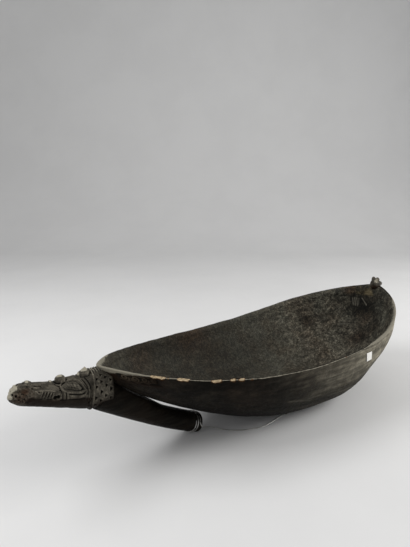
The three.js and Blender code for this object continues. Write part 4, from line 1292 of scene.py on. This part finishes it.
class Graph:
    """Short calls that add nodes to a tree and link them."""

    def __init__(self, tree):
        self.tree = tree

    def add(self, kind, **settings):
        node = self.tree.nodes.new("ShaderNode" + kind)
        for name, value in settings.items():
            setattr(node, name, value)
        return node

    def feed(self, socket, value):
        if isinstance(value, bpy.types.NodeSocket):
            self.tree.links.new(value, socket)
        else:
            socket.default_value = value

    def fill(self, node, **values):
        """Feeds a node's inputs by name, with an underscore for each space, and gives its outputs."""
        for name, value in values.items():
            self.feed(node.inputs[name.replace("_", " ")], value)
        return node.outputs

    def math(self, operation, first, second):
        node = self.add("Math", operation=operation)
        self.feed(node.inputs[0], first)
        self.feed(node.inputs[1], second)
        return node.outputs[0]

    def part(self, value, factor):
        return self.math("MULTIPLY", value, factor)

    def total(self, *parts):
        """The sum of values, each with its factor."""
        scaled = [self.part(value, factor) for value, factor in parts]
        while len(scaled) > 1:
            scaled[:2] = [self.math("ADD", *scaled[:2])]
        return scaled[0]

    def mix(self, share, first, second, way="MIX"):
        node = self.add("Mix", data_type="RGBA", blend_type=way)
        self.feed(node.inputs["Factor"], share)
        self.feed(node.inputs[6], first)
        self.feed(node.inputs[7], second)
        return node.outputs[2]

    def span(self, value, low, high, to_low=0.0, to_high=1.0):
        """Takes a value between low and high over to the range from to_low to to_high, with eased ends."""
        node = self.add("MapRange", interpolation_type="SMOOTHSTEP")
        limits = {"From_Min": low, "From_Max": high, "To_Min": to_low, "To_Max": to_high}
        return self.fill(node, Value=value, **limits)["Result"]

    def stretch(self, vector, scale):
        return self.fill(self.add("Mapping"), Vector=vector, Scale=scale)["Vector"]

    def noise(self, vector, scale, detail=4.0, roughness=0.55):
        node = self.add("TexNoise")
        return self.fill(node, Vector=vector, Scale=scale, Detail=detail, Roughness=roughness)["Fac"]

    def cells(self, vector, scale, feature="F1"):
        return self.fill(self.add("TexVoronoi", feature=feature), Vector=vector, Scale=scale)["Distance"]

    def bump(self, height, strength, distance):
        return self.fill(self.add("Bump"), Height=height, Strength=strength, Distance=distance)["Normal"]


def long_grain(graph, given, out):
    """Fibres that run along the bowl, from broad bands down to fine lines."""
    drawn = graph.stretch(given["Vector"], (0.06, 1.0, 1.0))
    broad = graph.noise(drawn, graph.part(given["Fibres"], 0.25), 3.0)
    graph.feed(out["Streaks"], graph.span(broad, 0.35, 0.68))
    graph.feed(out["Lines"], graph.span(graph.noise(drawn, given["Fibres"], 5.0, 0.65), 0.3, 0.7))


def blotches(graph, given, out):
    """Cloudy patches, with a smaller mottle inside them."""
    wide = graph.noise(given["Vector"], given["Patches"], 5.0, 0.6)
    graph.feed(out["Patches"], graph.span(wide, 0.38, 0.66))
    small = graph.noise(given["Vector"], given["Mottle"], 6.0, 0.7)
    graph.feed(out["Mottle"], graph.span(small, 0.36, 0.64))


def scratches(graph, given, out):
    """Short tool cuts and scratches lying more or less along the bowl."""
    shifted = graph.add("VectorMath", operation="MULTIPLY_ADD")
    values = (graph.noise(given["Vector"], 30.0, 2.0), (0.02, 0.02, 0.02), given["Vector"])
    for socket, value in zip(shifted.inputs, values):
        graph.feed(socket, value)
    drawn = graph.stretch(shifted.outputs[0], (0.22, 1.0, 1.0))
    cuts = graph.cells(drawn, given["Size"], "DISTANCE_TO_EDGE")
    graph.feed(out["Cuts"], graph.span(cuts, 0.09, 0.0))
    grit = graph.noise(given["Vector"], graph.part(given["Size"], 6.0), 4.0, 0.7)
    graph.feed(out["Grit"], graph.span(grit, 0.42, 0.6))


def wear(graph, given, out):
    """Breaks a smooth mark up into ragged patches, for wear and for painted highlights alike."""
    ragged = graph.noise(given["Vector"], given["Size"], 6.0, 0.7)
    pushed = graph.math("ADD", given["Mark"], graph.part(graph.math("SUBTRACT", ragged, 0.5), 1.5))
    graph.feed(out["Mask"], graph.span(pushed, 0.42, 0.78))


# Effects that the materials share: what makes each, its numbers in with defaults, and its numbers out
EFFECTS = {
    "Long grain": (long_grain, {"Fibres": 400.0}, ("Streaks", "Lines")),
    "Blotches": (blotches, {"Patches": 18.0, "Mottle": 160.0}, ("Patches", "Mottle")),
    "Scratches": (scratches, {"Size": 120.0}, ("Cuts", "Grit")),
    "Wear": (wear, {"Mark": 0.0, "Size": 90.0}, ("Mask",)),
}


def effect_tree(name):
    """A shared effect as a shader node group, made when it is first asked for."""
    if name not in bpy.data.node_groups:
        make, numbers, results = EFFECTS[name]
        tree = bpy.data.node_groups.new(name, "ShaderNodeTree")
        tree.interface.new_socket("Vector", in_out="INPUT", socket_type="NodeSocketVector")
        for label, default in numbers.items():
            socket = tree.interface.new_socket(label, in_out="INPUT", socket_type="NodeSocketFloat")
            socket.default_value = default
        for label in results:
            tree.interface.new_socket(label, in_out="OUTPUT", socket_type="NodeSocketFloat")
        given, out = tree.nodes.new("NodeGroupInput").outputs, tree.nodes.new("NodeGroupOutput").inputs
        make(Graph(tree), given, out)
    return bpy.data.node_groups[name]


class Coat(Graph):
    """A material's tree, with the base colour that has been laid on so far."""

    def __init__(self, name):
        material = bpy.data.materials.new(name)
        material.use_nodes = True
        material.node_tree.nodes.clear()
        super().__init__(material.node_tree)
        self.shader = self.add("BsdfPrincipled")
        self.fill(self.add("OutputMaterial"), Surface=self.shader.outputs["BSDF"])
        self.place = self.add("TexCoord").outputs["Object"]
        self.base = None

    def tone(self, colour, factor=1.0):
        """One of the scene's colours, made lighter or darker by a factor."""
        channels = getattr(bpy.context.scene.bowl_colours, colour)
        return (*(channel * factor for channel in channels), 1.0)

    def mark(self, name, factor=1.0):
        """One of the marks that a mesh carries, times a factor."""
        return self.part(self.add("Attribute", attribute_name=name).outputs["Fac"], factor)

    def effect(self, name, **values):
        return self.fill(self.add("Group", node_tree=effect_tree(name)), Vector=self.place, **values)

    def level(self, value, low, high):
        return self.span(value, 0.0, 1.0, low, high)

    def shade(self, value, low, high):
        """Multiplies the base by a level that goes from low to high as the value goes from 0 to 1."""
        self.base = self.mix(1.0, self.base, self.level(value, low, high), "MULTIPLY")

    def lay(self, share, colour, factor=1.0):
        """Lays one of the scene's colours over the base."""
        self.base = self.mix(share, self.base, self.tone(colour, factor))

    def finish(self, roughness, **values):
        self.fill(self.shader, Base_Color=self.base, Roughness=roughness, **values)


def edge_wear_highlight_and_chips(coat, lines):
    """Pales the rim's edge with wear and a painted highlight, shows fresh wood in chips, stains their
    margins.
    """
    worn = coat.effect("Wear", Mark=coat.mark("edge", 1.4), Size=170.0)["Mask"]
    coat.lay(coat.part(worn, 0.85), "worn")
    coat.lay(coat.mark("margin", 0.85), "stain")
    chip = coat.mark("chip")
    coat.lay(coat.span(chip, 0.0, 0.35), "stain", 1.6)
    raw = coat.mix(lines, coat.tone("raw", 0.55), coat.tone("raw", 1.25))
    coat.base = coat.mix(coat.span(chip, 0.3, 0.8), coat.base, raw)


def hull_wood(coat):
    """Smoked wood, with grey bloom and a painted sheen towards the tail and a painted shade below."""
    fine = coat.effect("Long grain", Fibres=620.0)
    broad = coat.effect("Long grain", Fibres=230.0)
    cloud = coat.effect("Blotches", Patches=17.0, Mottle=260.0)
    grime = coat.effect("Blotches", Patches=75.0, Mottle=520.0)
    grit = coat.effect("Scratches", Size=150.0)["Grit"]
    # Painted sheen with grey bloom towards the tail
    coat.base = coat.mix(coat.mark("sheen"), coat.tone("smoke", 0.5), coat.tone("bloom_and_sheen", 2.25))
    coat.lay(coat.part(cloud["Patches"], 0.16), "ruddy", 0.2)
    # Painted shade, darker further below the rim
    coat.shade(coat.mark("low"), 1.3, 0.42)
    coat.shade(broad["Streaks"], 1.45, 0.6)
    coat.shade(fine["Streaks"], 1.2, 0.72)
    coat.shade(fine["Lines"], 0.78, 1.22)
    coat.shade(grime["Patches"], 0.8, 1.25)
    coat.shade(grime["Mottle"], 0.85, 1.15)
    coat.lay(coat.mark("carved", 0.75), "ruddy", 0.17)
    coat.lay(coat.mark("band", 0.9), "smoke", 0.35)
    coat.lay(coat.mark("ridge", 0.9), "umber", 1.25)
    coat.lay(coat.mark("burr", 0.5), "worn", 0.45)
    edge_wear_highlight_and_chips(coat, fine["Lines"])
    rough = coat.math("ADD", coat.level(cloud["Mottle"], 0.5, 0.66), coat.mark("chip", 0.25))
    height = coat.total((fine["Lines"], 0.5), (grit, 0.25))
    coat.finish(rough, Specular_IOR_Level=0.05, Normal=coat.bump(height, 0.5, 0.0006))


def hollow_wood(coat):
    """Scraped wood, mottled more coarsely towards the tail, with painted light and shade, and a rubbed shelf
    by the knob.
    """
    grain = coat.effect("Long grain", Fibres=420.0)
    broad = coat.effect("Long grain", Fibres=180.0)
    cloud = coat.effect("Blotches", Patches=22.0, Mottle=110.0)
    speck = coat.effect("Blotches", Patches=240.0, Mottle=460.0)
    cuts = coat.effect("Scratches", Size=105.0)
    tone, rough = coat.mark("tone"), coat.mark("rough")
    shelf = coat.tone("lug", 0.6)
    for value, low, high in ((speck["Patches"], 0.5, 1.4), (grain["Streaks"], 1.3, 0.7)):
        shelf = coat.mix(1.0, shelf, coat.level(value, low, high), "MULTIPLY")
    # Painted highlight on the shelf
    shelf = coat.mix(coat.mark("shine"), shelf, coat.tone("lug", 1.7))
    umber = coat.mix(tone, coat.tone("smoke"), coat.tone("umber"))
    fleck = coat.mix(tone, coat.tone("hollow"), coat.tone("bloom_and_sheen", 3.0))
    flecks = coat.span(coat.noise(coat.place, 320.0, 2.0), 0.64, 0.74)
    # The tone mark carries painted light and shade as well as the wood's own paler and darker places
    coat.base = coat.mix(tone, coat.tone("hollow", 0.2), coat.tone("hollow", 2.85))
    coat.base = coat.mix(coat.part(cloud["Patches"], 0.6), coat.base, umber)
    coat.lay(coat.mark("ruddy", 0.6), "ruddy", 0.6)
    coat.shade(cloud["Mottle"], coat.level(rough, 0.74, 0.5), coat.level(rough, 1.25, 1.5))
    coat.shade(speck["Patches"], coat.level(rough, 0.76, 0.6), 1.22)
    coat.shade(speck["Mottle"], 0.78, coat.level(rough, 1.25, 1.4))
    coat.shade(broad["Streaks"], 1.12, 0.86)
    coat.shade(cuts["Cuts"], 0.96, coat.level(rough, 1.12, 1.7))
    coat.base = coat.mix(coat.part(flecks, 0.55), coat.base, fleck)
    coat.lay(coat.mark("deep", 0.85), "smoke", 0.3)
    coat.lay(coat.mark("burr", 0.85), "worn", 0.7)
    lug = coat.math("ADD", coat.mark("lug"), coat.level(cloud["Mottle"], -0.25, 0.25))
    coat.base = coat.mix(coat.span(lug, 0.15, 0.95), coat.base, shelf)
    edge_wear_highlight_and_chips(coat, grain["Lines"])
    rough = coat.level(cloud["Mottle"], 0.6, 0.82)
    height = coat.total((cuts["Cuts"], -0.6), (cuts["Grit"], 0.35), (speck["Patches"], 0.8))
    coat.finish(rough, Specular_IOR_Level=0.13, Normal=coat.bump(height, 0.7, 0.0011))


def carved_wood(coat):
    """Carved wood, pale on its high places with wear and painted highlight, dark with painted shade in
    grooves and under the jaw.
    """
    cloud = coat.effect("Blotches", Patches=95.0, Mottle=520.0)
    lines = coat.effect("Long grain", Fibres=700.0)["Lines"]
    raised, ruddy = coat.mark("raised"), coat.mark("ruddy")
    coat.base = coat.tone("carving")
    coat.shade(cloud["Patches"], 0.66, 1.3)
    coat.shade(cloud["Mottle"], 0.75, 1.2)
    coat.shade(lines, 0.85, 1.12)
    coat.lay(coat.part(ruddy, coat.level(cloud["Patches"], 0.95, 0.45)), "ruddy", 0.42)
    pocks = coat.span(coat.cells(coat.place, 330.0), 0.15, 0.5)
    coat.shade(pocks, coat.span(ruddy, 0.2, 0.8, 1.0, 0.35), 1.1)
    # Painted shade under the jaw, on the collar's underside and back, and low on the knob
    coat.lay(coat.mark("jaw", 0.93), "ruddy", 0.08)
    # Painted highlight on raised places
    coat.shade(coat.span(raised, 0.06, 0.5), 1.1, 1.8)
    worn = coat.effect("Wear", Mark=coat.mark("worn"), Size=300.0)["Mask"]
    # Wear and painted highlights, laid pale
    coat.lay(coat.part(worn, 0.85), "worn", 1.5)
    # Painted shade in grooves and holes
    coat.shade(coat.span(raised, -0.1, -0.75), 1.0, 0.1)
    height = coat.total((lines, 0.4), (cloud["Mottle"], 0.5))
    rough = coat.level(cloud["Mottle"], 0.36, 0.56)
    coat.finish(rough, Specular_IOR_Level=0.07, Normal=coat.bump(height, 0.5, 0.0005))


def neck_wood(coat):
    """Smoked wood, a little scuffed by the foot."""
    grain = coat.effect("Long grain", Fibres=450.0)
    cloud = coat.effect("Blotches", Patches=26.0, Mottle=300.0)
    coat.base = coat.tone("smoke", 0.7)
    coat.shade(grain["Streaks"], 0.6, 1.2)
    coat.shade(grain["Lines"], 0.75, 1.2)
    coat.lay(coat.part(cloud["Patches"], 0.2), "ruddy", 0.25)
    worn = coat.effect("Wear", Mark=coat.mark("scuff"), Size=140.0)["Mask"]
    coat.lay(coat.part(worn, 0.12), "bloom_and_sheen")
    rough = coat.level(cloud["Mottle"], 0.4, 0.6)
    coat.finish(rough, Specular_IOR_Level=0.05, Normal=coat.bump(grain["Lines"], 0.5, 0.0006))


def drawn_wire(coat):
    cloud = coat.effect("Blotches", Patches=120.0, Mottle=900.0)
    coat.base = coat.mix(cloud["Patches"], coat.tone("steel", 0.75), coat.tone("steel", 1.1))
    rough = coat.level(cloud["Mottle"], 0.28, 0.45)
    coat.finish(rough, Metallic=1.0, Normal=coat.bump(cloud["Mottle"], 0.2, 0.0001))


def nail_iron(coat):
    cloud = coat.effect("Blotches", Patches=300.0, Mottle=1500.0)
    coat.base = coat.mix(cloud["Patches"], coat.tone("steel", 0.35), coat.tone("steel", 0.6))
    coat.lay(coat.part(cloud["Mottle"], 0.4), "ruddy")
    rough = coat.level(cloud["Mottle"], 0.4, 0.7)
    coat.finish(rough, Metallic=1.0, Normal=coat.bump(cloud["Mottle"], 0.3, 0.0001))


def label_paper(coat):
    cloud = coat.effect("Blotches", Patches=150.0, Mottle=1800.0)
    coat.base = coat.tone("paper")
    coat.lay(coat.part(cloud["Patches"], 0.5), "paper", 0.9)
    coat.lay(coat.part(cloud["Mottle"], 0.15), "paper", 0.8)
    coat.finish(0.75, Normal=coat.bump(cloud["Mottle"], 0.25, 0.0001))


def peg_wood(coat):
    lines = coat.effect("Long grain", Fibres=900.0)["Lines"]
    coat.base = coat.mix(lines, coat.tone("raw", 0.7), coat.tone("raw"))
    coat.finish(0.7, Normal=coat.bump(lines, 0.4, 0.0003))


def floor_paper(coat):
    cloud = coat.effect("Blotches", Patches=3.0, Mottle=40.0)
    coat.base = coat.mix(cloud["Patches"], coat.tone("floor"), coat.tone("floor", 0.97))
    coat.finish(0.9)


LOOKS = {
    "smoked_wood_outside": hull_wood,
    "scraped_wood_inside": hollow_wood,
    "carved_wood": carved_wood,
    "smoked_wood_neck": neck_wood,
    "drawn_wire": drawn_wire,
    "nail_iron": nail_iron,
    "label_paper": label_paper,
    "peg_wood": peg_wood,
    "floor_paper": floor_paper,
}


def look(name):
    """A material by its name, made when it is first asked for."""
    if name not in bpy.data.materials:
        LOOKS[name](Coat(name))
    return bpy.data.materials[name]


def add_floor(settings):
    """A pale floor that sweeps up into a backdrop, square to the camera."""
    turn = -math.radians(settings.heading)
    sweep_from = FLOOR_BACK - SWEEP_RADIUS
    profile = [(FLOOR_FRONT, 0.0), (sweep_from, 0.0)]
    for angle in np.linspace(0, math.pi / 2, SWEEP_ROWS)[1:]:
        profile.append((sweep_from + SWEEP_RADIUS * math.sin(angle), SWEEP_RADIUS * (1 - math.cos(angle))))
    profile.append((FLOOR_BACK, BACKDROP_TOP))
    points = []
    for (along, up), side in itertools.product(profile, (-FLOOR_HALF_WIDTH, FLOOR_HALF_WIDTH)):
        x = side * math.cos(turn) - along * math.sin(turn)
        points.append((x, side * math.sin(turn) + along * math.cos(turn), up))
    mesh = bpy.data.meshes.new("floor_sweep")
    faces = [(2 * i, 2 * i + 1, 2 * i + 3, 2 * i + 2) for i in range(len(profile) - 1)]
    mesh.from_pydata(points, [], faces)
    mesh.polygons.foreach_set("use_smooth", [True] * len(mesh.polygons))
    mesh.materials.append(look("floor_paper"))
    floor = bpy.data.objects.new("floor_sweep", mesh)
    bpy.context.scene.collection.objects.link(floor)


def put_at(name, data, place, way):
    """Stands a camera or a lamp at a place, looking a way."""
    thing = bpy.data.objects.new(name, data)
    thing.location = place
    thing.rotation_mode = "QUATERNION"
    thing.rotation_quaternion = way.to_track_quat("-Z", "Y")
    bpy.context.scene.collection.objects.link(thing)
    return thing


def add_camera(settings):
    data = bpy.data.cameras.new("camera")
    data.lens = settings.lens
    data.sensor_width = 36
    heading, pitch = math.radians(settings.heading), math.radians(settings.pitch)
    level = math.cos(pitch)
    way = Vector((math.sin(heading) * level, math.cos(heading) * level, -math.sin(pitch)))
    bpy.context.scene.camera = put_at("camera", data, settings.camera_place, way)


def add_light(settings):
    """The lamps, and the soft light all round."""
    for name, place, aim, size, power, tint in LAMPS:
        data = bpy.data.lights.new(name, "AREA")
        data.shape = "RECTANGLE"
        data.size, data.size_y = size
        data.energy = getattr(settings, power)
        data.color = tint
        put_at(name, data, place, Vector(aim) - Vector(place))
    world = bpy.data.worlds.new("soft_room")
    world.use_nodes = True
    shade = world.node_tree.nodes["Background"]
    shade.inputs["Color"].default_value = (1, 1, 1, 1)
    shade.inputs["Strength"].default_value = settings.world_level
    bpy.context.scene.world = world
    bpy.context.scene.view_settings.view_transform = "Standard"


def number(name, description, default, **more):
    return FloatProperty(name=name, description=description, default=default, **more)


def measure(name, description, default):
    return number(name, description, default, unit="LENGTH")


def colour(name, description, default):
    more = {"size": 3, "subtype": "COLOR", "min": 0}
    return FloatVectorProperty(name=name, description=description, default=default, **more)


class BowlSizes(bpy.types.PropertyGroup):
    length: measure("Length", "Rim from nose to tail", 0.64)
    half_width: measure("Half-width", "Half the widest rim", 0.132)
    rim_height: measure("Rim height", "Lowest place of the rim", 0.118)


class SmallSizes(bpy.types.PropertyGroup):
    diameter: measure("Diameter", "Thickness of the wire", 0.0016)
    eye_radius: measure("Eye radius", "To the wire's middle", 0.0022)
    label_width: measure("Label width", "Width of the label", 0.0155)
    label_lean: number("Label lean", "Lean from upright", 0.42, unit="ROTATION")


class Colours(bpy.types.PropertyGroup):
    smoke: colour("Smoke", "Dark outside of the bowl", (0.0135, 0.0115, 0.0085))
    # Laid on as grey bloom, pale flecks and scuffs, and as the hull's painted sheen towards the tail
    bloom_and_sheen: colour("Bloom", "Grey bloom on the patina", (0.07, 0.064, 0.049))
    hollow: colour("Hollow", "Inside of the bowl", (0.04, 0.0385, 0.03))
    umber: colour("Umber", "Brown patches in the hollow", (0.07, 0.054, 0.037))
    carving: colour("Carving", "Head and collar", (0.056, 0.05, 0.039))
    # Also the colour of painted highlights on rim, head, collar and knob
    worn: colour("Worn", "Rubbed edges", (0.26, 0.24, 0.19))
    lug: colour("Lug", "Rubbed shelf by the tail knob", (0.11, 0.088, 0.05))
    raw: colour("Raw", "Fresh chips and pegs", (0.5, 0.39, 0.25))
    stain: colour("Stain", "Margins of the chips", (0.055, 0.024, 0.008))
    ruddy: colour("Ruddy", "Reddish patches", (0.085, 0.046, 0.026))
    steel: colour("Steel", "Wire and nail", (0.5, 0.49, 0.47))
    paper: colour("Paper", "Blank label", (0.62, 0.6, 0.55))
    floor: colour("Floor", "Floor and backdrop", (0.76, 0.76, 0.76))


class StageSettings(bpy.types.PropertyGroup):
    camera_place: FloatVectorProperty(
        name="Camera place",
        description="Where the camera stands",
        default=(-0.192 + NOSE_X * MM, -0.5087, 0.3873),
        subtype="TRANSLATION",
    )
    heading: number("Heading", "Degrees right of +Y", 36.0)
    pitch: number("Pitch", "Degrees below level", 12.0)
    lens: number("Lens", "Focal length in millimetres", 28.0)
    key_power: number("Key", "Power of the lamp at the right", 25.0, unit="POWER")
    top_power: number("Top", "Power of the lamp overhead", 12.0, unit="POWER")
    world_level: number("World", "Level of the light all round", 0.42)


class BuildOperator:
    """What the operators share: each calls its builders with one of the scene's groups of settings."""

    bl_options = {"REGISTER", "UNDO"}

    def execute(self, context):
        for build in self.builders:
            build(getattr(context.scene, self.settings))
        return {"FINISHED"}


class BOWL_OT_stage(BuildOperator, bpy.types.Operator):
    """Add the camera, the floor and the light"""

    bl_idname = "bowl.stage"
    bl_label = "Stage"
    settings = "bowl_stage"
    builders = (add_camera, add_floor, add_light)


class BOWL_OT_wire(BuildOperator, bpy.types.Operator):
    """Build the wire, its turns round the neck, its eye and its nail"""

    bl_idname = "bowl.wire"
    bl_label = "Wire"
    settings = "bowl_small"
    builders = (build_wire, build_nail)


class BOWL_OT_dish(BuildOperator, bpy.types.Operator):
    """Build the hollowed dish with its chipped rim and its tail knob"""

    bl_idname = "bowl.dish"
    bl_label = "Dish"
    settings = "bowl_sizes"
    builders = (build_dish, build_tail_knob)


class BOWL_OT_handle(BuildOperator, bpy.types.Operator):
    """Build the crocodile head, the pitted collar and the neck, and finish the hidden pegs"""

    bl_idname = "bowl.handle"
    bl_label = "Handle"
    settings = "bowl_sizes"
    builders = (build_head, build_collar, build_neck, build_pegs)


class BOWL_OT_label(BuildOperator, bpy.types.Operator):
    """Build the blank paper label"""

    bl_idname = "bowl.label"
    bl_label = "Label"
    settings = "bowl_small"
    builders = (build_label,)


class BOWL_PT_panel(bpy.types.Panel):
    bl_label = "Feast bowl"
    bl_idname = "BOWL_PT_panel"
    bl_space_type = "VIEW_3D"
    bl_region_type = "UI"
    bl_category = "Feast bowl"

    def draw(self, context):
        for operator in OPERATORS:
            self.layout.operator(operator.bl_idname)
        for holder in GROUPS:
            box = self.layout.box()
            group = getattr(context.scene, holder)
            for name in group.bl_rna.properties.keys():
                if name not in ("rna_type", "name"):
                    box.prop(group, name)


OPERATORS = (BOWL_OT_stage, BOWL_OT_wire, BOWL_OT_dish, BOWL_OT_handle, BOWL_OT_label)
GROUPS = {
    "bowl_sizes": BowlSizes,
    "bowl_small": SmallSizes,
    "bowl_colours": Colours,
    "bowl_stage": StageSettings,
}


def register():
    for kind in (*GROUPS.values(), *OPERATORS, BOWL_PT_panel):
        bpy.utils.register_class(kind)
    for holder, kind in GROUPS.items():
        setattr(bpy.types.Scene, holder, PointerProperty(type=kind))


def unregister():
    for holder in GROUPS:
        delattr(bpy.types.Scene, holder)
    for kind in (BOWL_PT_panel, *reversed(OPERATORS), *reversed(GROUPS.values())):
        bpy.utils.unregister_class(kind)


def main():
    register()
    bpy.ops.bowl.stage()
    bpy.ops.bowl.wire()
    bpy.ops.bowl.dish()
    bpy.ops.bowl.handle()
    bpy.ops.bowl.label()


if __name__ == "__main__":
    main()
